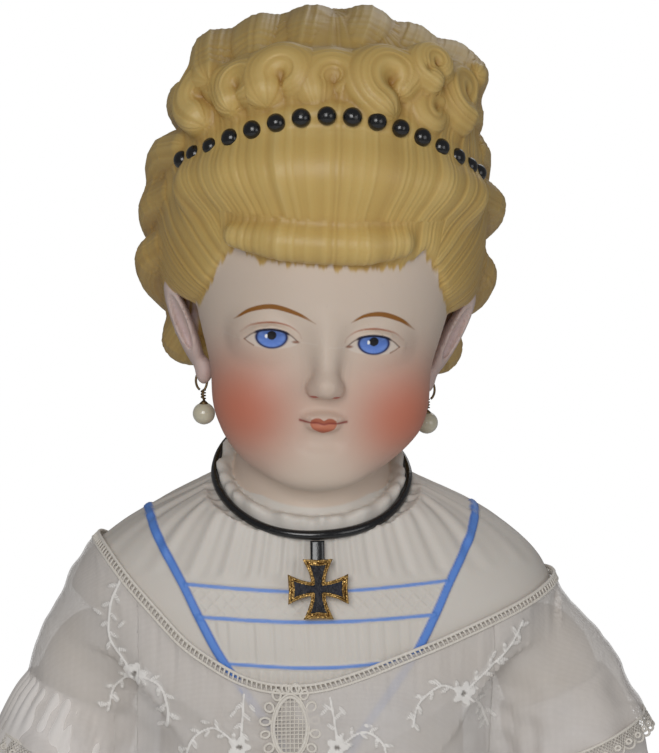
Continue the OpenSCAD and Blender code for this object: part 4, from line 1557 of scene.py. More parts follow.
# stems, leaves and flowers of the whitework, drawn flat over the front of the bodice
STEMS = [
    [(-38.5, 447.5), (-40.5, 442), (-41, 436), (-38, 431.5), (-36, 429)],
    [(-36, 429), (-31.5, 427.5), (-29.8, 424.5), (-29.5, 419)],
    [(-36, 429), (-40, 425), (-41.5, 420)],
    [(-14.8, 426), (-15.2, 421), (-15.9, 416), (-18, 412), (-18.5, 407)],
    [(-15.9, 416), (-20.5, 419.5), (-24.5, 417.5), (-26, 413)],
    [(3.5, 416), (3, 421), (2.2, 425.5)],
    [(3.5, 416), (8.5, 419), (12.5, 416.5), (13.5, 411)],
    [(3.5, 416), (2.8, 411), (-1.5, 407)],
    [(29.2, 425), (33.5, 428.5), (38, 433), (41, 438)],
    [(29.2, 425), (24.5, 427), (20, 424), (18.5, 419.5)],
    [(29.2, 425), (33, 421), (34.5, 416)],
]
FLOWERS = [(-36, 429), (-15.9, 416), (3.5, 416), (29.2, 425), (-27, 407), (17, 405)]
LEAVES = [
    (-43.2, 440.5, 60), (-38.6, 438.5, -40), (-34.0, 429.6, 70), (-31.0, 422, -60), (-28.2, 421.2, 50),
    (-42.6, 421.5, 80), (-39.6, 423.0, 20), (-13.2, 423.5, 40), (-17.0, 422.5, -45), (-19.8, 409.5, 60),
    (-16.6, 410.5, -60), (-22.5, 420.6, 80), (-26.9, 414.5, 10), (4.6, 423, 40), (0.9, 422.6, -45),
    (9.6, 420.2, 80), (14.6, 413.2, 20), (0.4, 408.4, 60), (35.2, 431.9, -20), (36.6, 430.2, 70),
    (40.2, 435.0, 10), (22.8, 427.8, 80), (18.4, 421.6, 20), (33.2, 418.4, -60), (35.8, 418.0, 50),
]


def sprig_leaves():
    """Small leaves in turn to each side along every stem: (x, z, lean in degrees)."""
    made = []
    for stem in STEMS:
        line = arc_line(stem, 12)
        length = path_length(line)
        for k, at in enumerate(np.arange(1.4, length[-1] - 0.6, 1.9)):
            x, z = (np.interp(at, length, line[:, i]) for i in range(2))
            ahead_x, ahead_z = (np.interp(at + 0.4, length, line[:, i]) for i in range(2))
            side = 1 if k % 2 else -1
            turned_by = math.atan2(ahead_z - z, ahead_x - x) + side * 0.85
            made.append((x + 1.15 * math.cos(turned_by), z + 1.15 * math.sin(turned_by),
                         math.degrees(turned_by) - 90))
    return made


def needlework(points):
    """Thickness of embroidery thread over the cloth, 0-1, and the small holes pierced in its flowers."""
    p = points[:, [0, 2]]
    thread = np.zeros(len(p))
    holes = np.zeros(len(p))
    front = points[:, 1] < 4
    for stem in STEMS:
        gap, _ = along(p, arc_line(stem, 6))
        thread = np.maximum(thread, ease(0.42, 0.14, gap))
    for x, z, lean in LEAVES + sprig_leaves():
        a = math.radians(lean)
        u = (p[:, 0] - x) * math.cos(a) + (p[:, 1] - z) * math.sin(a)
        v = -(p[:, 0] - x) * math.sin(a) + (p[:, 1] - z) * math.cos(a)
        leaf = np.sqrt((v / 1.15) ** 2 + (u / 0.5) ** 2)
        thread = np.maximum(thread, ease(1.15, 0.7, leaf) * (0.8 + 0.2 * np.sin(v * 16)))
    for x, z in FLOWERS:
        u, v = p[:, 0] - x, p[:, 1] - z
        radius, angle = np.hypot(u, v), np.arctan2(v, u)
        petal = 2.6 * (0.62 + 0.38 * np.abs(np.cos(angle * 2.5)) ** 1.5)
        thread = np.maximum(thread, ease(petal + 0.15, petal - 0.35, radius) * ease(0.35, 0.75, radius)
                            * 0.95)
        holes = np.maximum(holes, ease(0.55, 0.32, radius))
    return thread * front, holes * front


def split_off(obj, name, chosen):
    """Moves the chosen faces (by their middles, mm) to a new object."""
    made = obj.copy()
    made.data = obj.data.copy()
    made.name = name
    bpy.context.collection.objects.link(made)
    for target, wanted in ((made, True), (obj, False)):
        work = bmesh.new()
        work.from_mesh(target.data)
        middles = np.array([f.calc_center_median() for f in work.faces]) / MM
        lost = [f for f, good in zip(work.faces, chosen(middles)) if bool(good) != wanted]
        bmesh.ops.delete(work, geom=lost, context="FACES")
        work.to_mesh(target.data)
        work.free()
    return made


def build_bodice():
    """Bodice and its two shoulder caps, cut from one smooth garment."""
    clay = garment_clay()
    clay.d = clay.d - CLOTH_GAP
    bodice = clay_object("bodice_cloth", clay)
    refine(bodice, lambda m: (m[:, 1] < 8) & (m[:, 2] > 398), 2)

    def keep(m):
        top = neckline_height(m[:, 0], m[:, 1])
        return (m[:, 2] > 350.5) & (m[:, 2] < top) & ((np.abs(m[:, 0]) < 38) | (arm_station(m) < CAP_END))

    keep_faces(bodice, keep)
    p, n = mesh_points(bodice), mesh_normals(bodice)
    angle = np.arctan2(p[:, 0], -p[:, 1])
    low = ease(404, 372, p[:, 2])
    gathers = np.sin(angle * 34 + 1.3 * np.sin(angle * 5)) * ease(376, 356, p[:, 2]) * 0.45
    dart = sum(np.exp(-((p[:, 0] - s * (12 - (p[:, 2] - 354) * 0.06)) / 0.7) ** 2) for s in (-1, 1))
    slack = (
        noise_1d(31, p[:, 0] * 0.13 + p[:, 2] * 0.05) * 0.35
        + noise_1d(32, p[:, 2] * 0.16 - p[:, 0] * 0.07) * 0.3
    )
    pull = np.sin((p[:, 2] - 405 + np.abs(p[:, 0]) * 0.5) * 0.9) * 0.2 * ease(22, 34, np.abs(p[:, 0]))
    pull = pull * (p[:, 2] < 424) * (np.abs(p[:, 0]) < 40)
    to_edge = neckline_height(p[:, 0], p[:, 1]) - p[:, 2]
    eased = noise_1d(33, p[:, 0] / 1.1) * 0.22 * ease(14, 2, to_edge) * (p[:, 2] > 400)
    crumple = (
        0.22 * np.sin(p[:, 0] * 0.33 + 2.2 * np.sin(p[:, 2] * 0.21) + p[:, 2] * 0.45)
        * ease(396, 404, p[:, 2])
    )
    station = arm_station(p)
    around = np.arctan2(p[:, 1], np.abs(p[:, 0]) - 48)
    puff = (
        np.sin(around * 11 + 1.4 * np.sin(around * 3)) * 0.5
        * ease(0, 16, station) * ease(36, 46, np.abs(p[:, 0]))
    )
    seam = -0.12 * np.exp(-((np.abs(p[:, 0]) - CAP_SEAM) / 0.7) ** 2) * (p[:, 2] < 441)
    thread, holes = needlework(p)
    placket = np.exp(-((p[:, 0] - 1.5) / 0.35) ** 2) * (p[:, 1] > 5) * 0.5
    lift = gathers - 0.3 * dart * low * (p[:, 1] < 0) + slack + pull + puff + seam + eased + crumple
    lift = lift + 0.3 * thread - 0.1 * holes - placket
    near_top = ease(0.4, 3.5, neckline_height(p[:, 0], p[:, 1]) - p[:, 2])
    put_points(bodice, p + n * (lift * (0.2 + 0.8 * near_top))[:, None])
    put_attribute(bodice, "thread", thread)
    # where the flowers' pierced holes get painted shade in the lawn
    put_attribute(bodice, "hole_painted_shade", holes)
    edge = even_loop(boundary_loop(bodice, lambda q: q[:, 2] > 424), 1.0, 12)
    right = split_off(bodice, "sleeve_cap_cloth_right", lambda m: (m[:, 0] < -CAP_SEAM))
    left = split_off(bodice, "sleeve_cap_cloth_left", lambda m: (m[:, 0] > CAP_SEAM))
    for piece in (bodice, right, left):
        thicken(piece, LAWN_THICKNESS)
    return bodice, {-1: right, 1: left}, clay, edge


def cap_ring(clay, side, step=0.75):
    """Closed line round a cap's lower edge, with its outward directions."""
    start, down, outward, forward = arm_frame(side)
    start = np.array([side * SHOULDER[0], 0, SHOULDER[2]]) + down * (CAP_END - 0.4)
    angles = round_angles(120)
    ways = outward[None] * np.cos(angles)[:, None] + forward[None] * np.sin(angles)[:, None]
    reach = np.full(len(angles), 17.5)
    for r in np.arange(17.5, 8, -0.25):
        free = clay.value_at(clay.d, start + ways * r) > 0.3
        reach = np.where(free, r, reach)
    reach = np.minimum(reach, 15.5)
    for _ in range(6):
        reach = (np.roll(reach, 1) + 2 * reach + np.roll(reach, -1)) / 4
    line = even_loop(start + ways * reach[:, None], step, 2)
    out = line - start
    out -= (out @ down)[:, None] * down
    return line, down, out / np.linalg.norm(out, axis=1)[:, None]


def boundary_loop(obj, chosen):
    """The ordered line of border vertices (mm) of an open mesh, among those chosen(points)."""
    made = bmesh.new()
    made.from_mesh(obj.data)
    edges = [e for e in made.edges if e.is_boundary]
    where = {v.index: np.array(v.co) / MM for e in edges for v in e.verts}
    good = {i for i, co in where.items() if chosen(co[None])[0]}
    links = {}
    for e in edges:
        a, b = e.verts[0].index, e.verts[1].index
        if a in good and b in good:
            links.setdefault(a, []).append(b)
            links.setdefault(b, []).append(a)
    made.free()
    best = []
    left = set(links)
    while left:
        start = min(left)
        line, here, last = [start], start, None
        left.discard(start)
        while True:
            ahead = [i for i in links[here] if i != last and i in left]
            if not ahead:
                break
            last, here = here, ahead[0]
            left.discard(here)
            line.append(here)
        if len(line) > len(best):
            best = line
    return np.array([where[i] for i in best])


def even_loop(line, step, rounds=4):
    """The same closed line with evenly spaced, smoothed points."""
    closed = np.concatenate([line, line[:1]])
    length = path_length(closed)
    count = max(int(round(length[-1] / step)), 6)
    at = np.arange(count) * length[-1] / count
    made = np.stack([np.interp(at, length, closed[:, i]) for i in range(3)], axis=1)
    for _ in range(rounds):
        made = (np.roll(made, 1, axis=0) + 2 * made + np.roll(made, -1, axis=0)) / 4
    return made


def scallop_lace(name, line, down, out, depth=4.2, pitch=3.0, thread=0.2):
    """Lace edging under a closed line: a cord, rows of net meshes and a border of small loops."""
    line = np.asarray(line)
    count = len(line)
    down = np.broadcast_to(np.asarray(down, dtype=np.float64), line.shape)
    parts = [path_tube("head_cord", line, thread * 1.5, 6, closed=True)]
    per = max(int(round(pitch / np.linalg.norm(line[1] - line[0]))), 4)
    total = max(count // per, 3)

    def at(t, drop, ripple=0.0):
        i = t * count
        a = int(math.floor(i)) % count
        b = (a + 1) % count
        f = i - math.floor(i)
        base = line[a] * (1 - f) + line[b] * f
        return base + down[a] * drop + out[a] * (ripple * math.sin(t * total * math.pi * 2) + 0.12 * drop)

    rows = 3
    for row in range(rows):
        top, low = depth * 0.72 * row / rows, depth * 0.72 * (row + 1) / rows
        zig, zag = [], []
        for k in range(total * 4 + 1):
            t = (k / (total * 4)) % 1.0
            zig.append(at(t, top if k % 2 else low, 0.25))
            zag.append(at(t, low if k % 2 else top, 0.25))
        parts.append(path_tube("net", zig[:-1], thread * 0.7, 4, closed=True))
        parts.append(path_tube("net", zag[:-1], thread * 0.7, 4, closed=True))
    edge = []
    for k in range(total * 10):
        t = k / (total * 10)
        edge.append(at(t, depth * (0.72 + 0.28 * abs(math.sin(math.pi * t * total))), 0.25))
    parts.append(path_tube("edge", edge, thread * 1.3, 5, closed=True))
    for k in range(total):
        middle = (k + 0.5) / total
        eye = []
        for b in round_angles(10):
            eye.append(at((middle + 0.18 * math.cos(b) / total) % 1.0, depth * (0.62 + 0.13 * math.sin(b)),
                          0.25))
        parts.append(path_tube("eye", eye, thread * 1.2, 5, closed=True))
    return merge(name, parts)


def lawn_material(name="lawn", sheer=0.40, tone=(0.94, 0.90, 0.875), worked=True):
    """Fine white cotton lawn: plain weave, a little see-through, with raised embroidery where worked."""
    look = Look(name)
    where = look.coords()
    weave = look.weave(where, 1350.0, 0.8, 1.0)
    cloud = look.noise(55, 4, 0.6, where)
    slub = look.noise(700, 2, 0.5, where)
    fold = look.noise(22, 3, 0.5, where)
    tint = look.mix(look.math("MULTIPLY_ADD", cloud, 1.4, -0.35, clamp=True), tone,
                    (tone[0] * 0.9, tone[1] * 0.86, tone[2] * 0.8))
    tint = look.mix(look.math("MULTIPLY", look.math("SUBTRACT", 1.0, weave), 0.12), tint, (0.42, 0.38, 0.34))
    pores = look.math("MULTIPLY", look.math("SUBTRACT", 1.0, weave), sheer * 0.5)
    alpha = look.math("SUBTRACT", 1.0 - sheer * 0.9, pores)
    height = look.math("ADD", look.math("MULTIPLY", weave, 0.6), look.math("MULTIPLY", slub, 0.5))
    if worked:
        thread = look.attribute("thread").outputs["Fac"]
        hole_painted_shade = look.attribute("hole_painted_shade").outputs["Fac"]
        tint = look.mix(look.math("MULTIPLY", thread, 0.85), tint, (0.93, 0.90, 0.86))
        # the flowers' pierced holes are painted dark: painted shade seen through them, the cloth is not cut
        # there
        tint = look.mix(look.math("MULTIPLY", hole_painted_shade, 0.8), tint, (0.14, 0.12, 0.1))
        alpha = look.math("MAXIMUM", alpha, thread)
        stitch = look.noise(1500, 2, 0.6, where)
        height = look.math("ADD", height, look.math("MULTIPLY", thread, stitch))
    normal = look.bump(height, 0.35, 0.00012)
    normal = look.bump(fold, 0.25, 0.0012, normal)
    look.set(Base_Color=tint, Alpha=alpha, Normal=normal)
    look.set(Roughness=look.math("MULTIPLY_ADD", cloud, 0.1, 0.8))
    look.set(Sheen_Weight=0.25, Sheen_Roughness=0.5, Specular_IOR_Level=0.25)
    return look.material


def surface_path(clay, line, grow):
    """Rough points (mm) moved on to the clay's skin, grow mm outside it, and their outward directions."""
    p = np.array(line, dtype=np.float64)
    for _ in range(12):
        e = 0.5
        value = clay.value_at(clay.d, p)
        slope = np.stack([clay.value_at(clay.d, p + np.eye(3)[i] * e)
                          - clay.value_at(clay.d, p - np.eye(3)[i] * e)
                          for i in range(3)], axis=1) / (2 * e)
        size = np.linalg.norm(slope, axis=1)[:, None] + 1e-6
        p = p - slope / size * (value - grow)[:, None] * 0.8
    return p, slope / size


def ladder(name, line, out, width=1.6, cord=0.28, bar=0.2):
    """Entredeux: two cords joined by slanting bars, lying on a surface with outward directions out."""
    count = len(line)
    forward = np.roll(line, -1, axis=0) - np.roll(line, 1, axis=0)
    forward /= np.linalg.norm(forward, axis=1)[:, None]
    across = np.cross(forward, out)
    across /= np.linalg.norm(across, axis=1)[:, None]
    top = line + across * width / 2
    low = line - across * width / 2
    parts = [path_tube("cord_a", top, cord, 6, closed=True),
             path_tube("cord_b", low, cord * 1.15, 6, closed=True)]
    for i in range(count):
        j = (i + 1) % count
        start = low[i]
        end = top[i] * 0.55 + top[j] * 0.45
        middle = (start + end) / 2 + out[i] * 0.06
        parts.append(path_tube("bar", [start, middle, end], [bar * 1.25, bar, bar * 1.1], 5))
    return merge(name, parts)


def thread_material(name="white_thread", tone=(0.88, 0.84, 0.78)):
    look = Look(name)
    where = look.coords()
    twist = look.noise(2400, 3, 0.6, where)
    cloud = look.noise(90, 3, 0.6, where)
    colour = look.mix(look.math("MULTIPLY_ADD", twist, 0.9, -0.2, clamp=True), tone,
                      (tone[0] * .7, tone[1] * .66, tone[2] * .58))
    colour = look.mix(look.math("MULTIPLY", cloud, 0.25), colour, (0.5, 0.42, 0.33))
    look.set(Base_Color=colour, Roughness=look.math("MULTIPLY_ADD", cloud, 0.1, 0.75))
    look.set(Normal=look.bump(twist, 0.6, 0.0002), Sheen_Weight=0.3, Specular_IOR_Level=0.25)
    return look.material


MEDALLION_CENTRE = (-5.8, 420.2)
MEDALLION_NET = (3.3, 5.7)
MEDALLION_EYELETS = 16


def build_medallion(clay):
    """Oval of open net in a ring of worked eyelets, at the middle of the neckline."""
    cx, cz = MEDALLION_CENTRE
    rx, rz = MEDALLION_NET
    flat_parts = []

    def lay_line(pairs, radius, closed, sides=6, lift=0.45):
        rough = [(cx + u, -30, cz + v) for u, v in pairs]
        placed, _ = surface_path(clay, rough, lift)
        flat_parts.append(path_tube("worked", placed, radius, sides, closed=closed))

    ring = [(rx * math.cos(a), rz * math.sin(a)) for a in round_angles(40)]
    lay_line(ring, 0.36, True)
    lay_line([(x * 1.14, z * 1.08) for x, z in ring], 0.2, True)
    pitch = 0.82
    for k in range(-4, 5):
        u = k * pitch
        if abs(u) < rx - 0.2:
            reach = rz * math.sqrt(1 - (u / rx) ** 2)
            lay_line([(u, v) for v in np.linspace(-reach, reach, 9)], 0.13, False, 5)
    for k in range(-7, 8):
        v = k * pitch
        if abs(v) < rz - 0.2:
            reach = rx * math.sqrt(1 - (v / rz) ** 2)
            lay_line([(u, v) for u in np.linspace(-reach, reach, 6)], 0.13, False, 5, 0.52)
    for k in range(MEDALLION_EYELETS):
        a = 2 * math.pi * (k + 0.5) / MEDALLION_EYELETS
        u, v = (rx + 1.75) * math.cos(a), (rz + 1.7) * math.sin(a)
        tall = 1.0 if k % 2 else 0.92
        eyelet = []
        for b in round_angles(14):
            du, dv = 0.98 * tall * math.cos(b), 0.8 * tall * math.sin(b)
            eyelet.append((u + du * math.cos(a) - dv * math.sin(a), v + du * math.sin(a) + dv * math.cos(a)))
        lay_line(eyelet, 0.27, True, 6, 0.4)
    return merge("neck_medallion_work", flat_parts)


# ---------------------------------------------------------------- sleeves, arms and hands

ARM_INSET = {-1: 2.6, 1: 0.0}
SLEEVE_BAND_AT = 65.3
SLEEVE_BAND_RADIUS = 10.9
FOREARM_TOP = 15.8
FINGER_REACHES = (86.5, 90.2, 91.0, 88.6)
ELBOW_DISTANCE = 85
SLEEVE_ROWS = [
    (7, 11.0), (12, 12.4), (20, 13.2), (32, 13.4), (45, 13.0), (56, 12.4), (62, 11.2), (65, 10.4), (68, 10.6),
    (72, 13.2), (77, 16.4), (80.5, 18.2),
]


def arm_frame(side):
    """Shoulder point, downward, outward and forward directions of an upper arm."""
    start = np.array([side * (SHOULDER[0] - ARM_INSET[side]), 0, SHOULDER[2]])
    down = np.array([side * ARM_DOWN[0], 0, ARM_DOWN[2]])
    outward = np.array([side * math.cos(ARM_LEAN), 0, math.sin(ARM_LEAN)])
    return start, down, outward, np.array([0, -1.0, 0])


def build_sleeve(side):
    start, down, outward, forward = arm_frame(side)
    around, rings = 220, 120
    table = np.array(SLEEVE_ROWS)
    stations = np.linspace(table[0, 0], table[-1, 0], rings)
    fine = arc_line(table, 8)
    points = []
    for station in stations:
        radius = np.interp(station, fine[:, 0], fine[:, 1])
        gather = ease(22, 9, station) * 0.35 + 0.55 * np.exp(-((station - 60) / 7) ** 2)
        frill = ease(67, 80, station)
        for k in range(around):
            a = 2 * math.pi * k / around
            wave = math.sin(a * 31 + 1.7 * math.sin(a * 4 + side)) * gather
            wave += frill * 1.5 * math.sin(a * 15 + 1.2 * math.sin(3 * a))
            slack = 0.5 * math.sin(a * 3 + station * 0.14 + side) + 0.4 * math.sin(a * 5 - station * 0.21)
            slack += 0.45 * math.sin(station * 0.55 + 2.4 * math.sin(a * 2 + 0.7))
            slack *= ease(12, 30, station) * ease(66, 54, station)
            r = radius + wave + slack * (1 if 66 > station else 0.3)
            points.append(start + down * station + (outward * math.cos(a) + forward * math.sin(a)) * r)
    name = side_name(side)
    made = mesh_from("sleeve_cloth_" + name, np.array(points) * MM, ring_faces(rings, around))
    thicken(made, LAWN_THICKNESS)
    last = np.array(points[-around:])
    outs = (last - last.mean(0)) / np.linalg.norm(last - last.mean(0), axis=1)[:, None]
    line = even_loop(last, 0.75, 1)
    outs = even_loop(outs, 0.75 * np.linalg.norm(outs[1] - outs[0]) / np.linalg.norm(last[1] - last[0]),
                     1)[:len(line)]
    if len(outs) < len(line):
        outs = np.concatenate([outs, np.repeat(outs[-1:], len(line) - len(outs), axis=0)])
    lace = scallop_lace("sleeve_lace_" + name, line, down, outs, depth=3.6)
    band_start = start + down * SLEEVE_BAND_AT
    band_line = [band_start + (outward * math.cos(a) + forward * math.sin(a)) * SLEEVE_BAND_RADIUS
                 for a in round_angles(80)]
    band = path_tube("sleeve_band_" + name, band_line, 1.0, 10, closed=True, flat=0.45, ends=down)
    return made, merge("sleeve_trim_" + name, [lace, band])


ELBOW = np.array([
    SHOULDER[0] + ELBOW_DISTANCE * math.sin(ARM_LEAN), 0, SHOULDER[2] - ELBOW_DISTANCE * math.cos(ARM_LEAN),
])
FOREARM_TURN = (13.3, 18.7)


def forearm_matrix(side):
    """Columns are the forearm's own X, Y and Z (down the arm) directions; then its start at the elbow."""
    m = Matrix.Rotation(math.radians(-FOREARM_TURN[0]), 3, "X")
    m = m @ Matrix.Rotation(math.radians(side * (180 - FOREARM_TURN[1])), 3, "Y")
    return np.array(m), np.array([side * (ELBOW[0] - ARM_INSET[side]), 0, ELBOW[2]])


def place(points, matrix, origin):
    return np.asarray(points) @ matrix.T + origin


def closed_hand(side):
    """Bisque forearm and hand in the forearm's own frame."""
    clay = Clay((-13, -14, 13), (13, 11, 95), 0.45)
    arm = [(0, 0, 15.8), (0, 0, 24), (0, 0, 32), (0, -0.2, 42), (0, -0.3, 52), (0, -0.2, 60), (0, -0.2, 66)]
    clay.blend(tube(arm, [7.1, 7.5, 7.3, 6.4, 5.3, 4.6, 4.5]), 0)
    clay.blend(blob((0, -0.6, 72.5), (5.6, 3.5, 7.2)), 3)
    clay.blend(blob((side * -0.6, -1.2, 77), (5.4, 3.0, 4.4)), 2)
    for i, reach in enumerate(FINGER_REACHES):
        x = side * (3.9 - 2.55 * i)
        bend = 1.6 + 0.5 * i
        finger = [(x, -0.8, 77), (x * 0.97, -1.4, 82), (x * 0.92, -2.2 - bend * 0.3, 86),
                  (x * 0.86, -2.6 - bend, reach)]
        clay.blend(tube(finger, [1.75, 1.6, 1.45, 1.15]), 0.7)
    thumb = [(side * -3.0, -1.5, 68), (side * -5.0, -4.2, 72.5), (side * -5.3, -6.4, 77),
             (side * -4.6, -7.6, 80.5)]
    clay.blend(tube(thumb, [2.6, 2.1, 1.7, 1.3]), 1.6)
    groove = [(7.55 * math.cos(a), 7.55 * math.sin(a), 19.3) for a in np.linspace(0, 2 * math.pi, 25)]
    clay.blend(tube(groove, 1.0), 0.8, "cut")
    clay.d = np.maximum(clay.d, FOREARM_TOP - clay.open_grid()[2])
    return clay


def paint_plain(obj, colour, extra=()):
    p = mesh_points(obj)
    colours = np.repeat(np.asarray(colour)[None, :], len(p), axis=0)
    for tone, share in extra:
        colours = lay(colours, tone, share(p))
    put_attribute(obj, "paint", colours)
    put_attribute(obj, "hair", np.zeros(len(p)))


def binding_rise(angle):
    """How far a binding's coil has climbed at an angle."""
    return BINDING_RISE * angle / (2 * math.pi * BINDING_TURNS)


def build_forearm(side):
    matrix, origin = forearm_matrix(side)
    clay = closed_hand(side)
    name = side_name(side)
    made = clay_object("bisque_arm_" + name, clay)
    tips = [(FINGERTIP, lambda p: 0.35 * ease(82, 90, p[:, 2])),
            (KNUCKLE, lambda p: 0.25 * np.exp(-((p[:, 2] - 70) / 5) ** 2) * (p[:, 1] < -2))]
    paint_plain(made, FLESH, tips)
    put_points(made, place(mesh_points(made), matrix, origin))
    coil = [(8.45 * math.cos(a), 8.45 * math.sin(a), 18.3 + binding_rise(a) + 0.08 * math.sin(a * 2.3))
            for a in np.arange(0, 2 * math.pi * BINDING_TURNS, 0.2)]
    binding = path_tube("arm_thread_" + name, place(coil, matrix, origin), BINDING_THREAD, 6)
    return made, binding


def stuffed(name, stations, matrix, origin, seam=0.6, wrinkle=0.35, sides=56, seed=0):
    """Sewn, stuffed tube: stations of (distance, radius) down its own Z, with one seam and soft puckers."""
    fine = arc_line(np.array(stations, dtype=np.float64), 9)
    points = []
    for z, r in fine:
        for k in range(sides):
            a = 2 * math.pi * k / sides
            pucker = (
                wrinkle
                * (math.sin(a * 3 + z * 0.18 + seed) * 0.6 + math.sin(a * 5 - z * 0.31 + 2 * seed) * 0.4)
            )
            stitch = -seam * math.exp(-((math.pi - abs(a - math.pi)) / 0.09) ** 2)
            rr = max(r + (pucker + stitch) * min(r / 8, 1), 0.05)
            points.append((rr * math.cos(a), rr * math.sin(a), z))
    faces = ring_faces(len(fine), sides, flipped=True)
    faces.append(tuple(range(sides)))
    faces.append(tuple(range(len(points) - 1, len(points) - 1 - sides, -1)))
    return mesh_from(name, place(points, matrix, origin) * MM, faces)


LEG_X = 17.5
HIP_HEIGHT = 296
KNEE_HEIGHT = 154
LEG_TOP = 113.6
SOLE_HEIGHT = 0.45
BOOT_TOP = 44.2
BOOT_BUTTONS = 6
BINDING_TURNS = 4
BINDING_RISE = 2.0
BINDING_THREAD = 0.36


def upright(side, height):
    """A leg's own frame: Z down from a height."""
    return np.array([[1.0, 0, 0], [0, -1.0, 0], [0, 0, -1.0]]), np.array([side * LEG_X, 0, height])


def arm_matrix(side):
    start, down, outward, _ = arm_frame(side)
    return np.stack([outward, np.cross(down, outward), down], axis=1), start


ARM_STATIONS = [
    (-10.4, 0.1), (-9.2, 4.6), (-6, 7.9), (0, 9.9), (8, 10.0), (22, 9.6), (40, 9.2), (58, 8.9), (69, 8.2),
    (73.5, 6.2), (75.2, 0.1),
]
ELBOW_STATIONS = [
    (-8.7, 0.1), (-7.4, 4.8), (-4, 7.6), (0, 8.7), (6, 8.9), (12, 8.4), (16.5, 8.3), (18.0, 8.1),
    (19.3, 7.95), (20.6, 8.2), (22.6, 8.9), (22.7, 7.9), (20.6, 7.7),
]
THIGH_STATIONS = [
    (-13, 0.1), (-11.6, 5.6), (-7, 10.4), (0, 13.2), (18, 13.4), (40, 12.8), (66, 12.0), (90, 11.2),
    (118, 10.2), (128, 8.0), (130.6, 0.1),
]
CALF_STATIONS = [
    (-10, 0.1), (-8.6, 5.5), (-5, 8.8), (0, 10.2), (10, 10.6), (22, 10.6), (34, 10.2), (41, 10.0),
    (44.2, 9.6), (47, 10.0), (48.6, 10.5), (48.7, 9.6), (46.4, 9.35),
]


def muslin_material():
    look = Look("muslin")
    where = look.coords()
    weave = look.weave(where, 520.0, 1.2, 2.0)
    stain = look.noise(30, 5, 0.6, where)
    colour = look.mix(look.math("MULTIPLY_ADD", stain, 1.8, -0.6, clamp=True), (0.60, 0.51, 0.38),
                      (0.46, 0.36, 0.23))
    colour = look.mix(look.math("MULTIPLY", weave, 0.25), colour, (0.72, 0.64, 0.5))
    look.set(Base_Color=colour, Roughness=look.math("MULTIPLY_ADD", stain, 0.1, 0.82), Sheen_Weight=0.3)
    look.set(Normal=look.bump(weave, 0.5, 0.0003), Specular_IOR_Level=0.2)
    return look.material


def build_lower_leg(side):
    clay = Clay((5, -31, -1), (30, 13, 116), 0.5)
    x0 = LEG_X
    leg = [(x0, 0, 113.3), (x0, 0, 100), (x0, 0.4, 84), (x0, 0.5, 66), (x0, 0.2, 48), (x0, 0.6, 33),
           (x0, 1, 22)]
    clay.blend(tube(leg, [8.9, 9.3, 9.4, 8.3, 6.8, 6.3, 6.8]), 0)
    clay.blend(tube([(x0, 2.5, 13), (x0, -6, 11), (x0, -14, 8), (x0, -20.5, 6.6)], [7.2, 6.6, 6.0, 5.6]), 4)
    clay.blend(blob((x0, -20, 5.6), (6.4, 7.6, 5.0)), 3)
    clay.blend(blob((x0, 3.6, 8), (6.2, 6.0, 9.5)), 2)
    clay.blend(tube([(x0 - 12, -6.5, 0.2), (x0 + 12, -6.5, 0.2)], 3.1), 1.2, "cut")
    rim = [(x0 + 6.9 * math.cos(a), 0.2 + 6.9 * math.sin(a), 44 + 1.6 * math.cos(a * 2))
           for a in np.linspace(0, 2 * math.pi, 33)]
    clay.blend(tube(rim, 0.7), 0.9)
    for k in range(BOOT_BUTTONS):
        a = math.radians(-62)
        height = 15 + 4.8 * k
        clay.blend(blob((x0 + 6.6 * math.cos(a) + 0.4, -6.6 * math.sin(-a) + (0.2 if k else -1), height),
                        (1.1, 1.1, 1.1)), 0.5)
    groove = [(x0 + 9.3 * math.cos(a), 9.3 * math.sin(a), 109.8) for a in np.linspace(0, 2 * math.pi, 33)]
    clay.blend(tube(groove, 1.0), 0.8, "cut")
    z = clay.open_grid()[2]
    clay.d = np.maximum(np.maximum(clay.d, SOLE_HEIGHT - z), z - LEG_TOP)
    name = side_name(side)
    made = clay_object("bisque_leg_" + name, clay)
    p = mesh_points(made)
    if side < 0:
        p[:, 0] *= -1
        put_points(made, p)
        made.data.flip_normals()
    top = BOOT_TOP + 1.6 * np.cos(np.arctan2(p[:, 1], np.abs(p[:, 0]) - x0) * 2)
    boot = ease(0.3, -0.3, p[:, 2] - top)
    colours = np.repeat(FLESH[None, :], len(p), axis=0)
    colours = lay(colours, BOOT_LEATHER, boot)
    colours = lay(colours, SOLE_EDGE, boot * ease(0.9, 0.5, np.abs(p[:, 2] - 5.6)) * 0.5)
    put_attribute(made, "paint", colours)
    put_attribute(made, "hair", boot * 1.6)
    coil = [(side * x0 + 10.1 * math.cos(a), 10.1 * math.sin(a), 107.3 + binding_rise(a))
            for a in np.arange(0, 2 * math.pi * BINDING_TURNS, 0.2)]
    return made, path_tube("leg_thread_" + name, coil, BINDING_THREAD, 6)


# ---------------------------------------------------------------- torso, skirt, petticoat and drawers

TORSO_ROWS = [
    [312, 23, -15, 15], [316, 26.5, -18, 18], [326, 27.2, -18.8, 18.4], [336, 25.6, -17.6, 16.6],
    [345, 24.8, -16.4, 15.8], [358, 26.4, -17.2, 16.0], [380, 29.4, -19.2, 16.8], [405, 31, -20, 17.2],
    [425, 30, -19.6, 17], [433, 27, -17.6, 15], [437, 20, -12, 10],
]
SKIRT_ROWS = [
    [14, 145, -144.5, 144.5], [50, 138, -137, 137], [100, 128, -127, 127], [160, 114, -113, 113],
    [220, 99, -97, 97], [270, 84, -80, 80], [300, 72, -66, 66], [325, 57, -50, 50], [335, 47, -39, 39],
    [341, 38, -28, 28], [344.5, 31, -20.5, 20], [346.5, 28.4, -18.4, 17.8],
]
PETTICOAT_INSET = 6.0


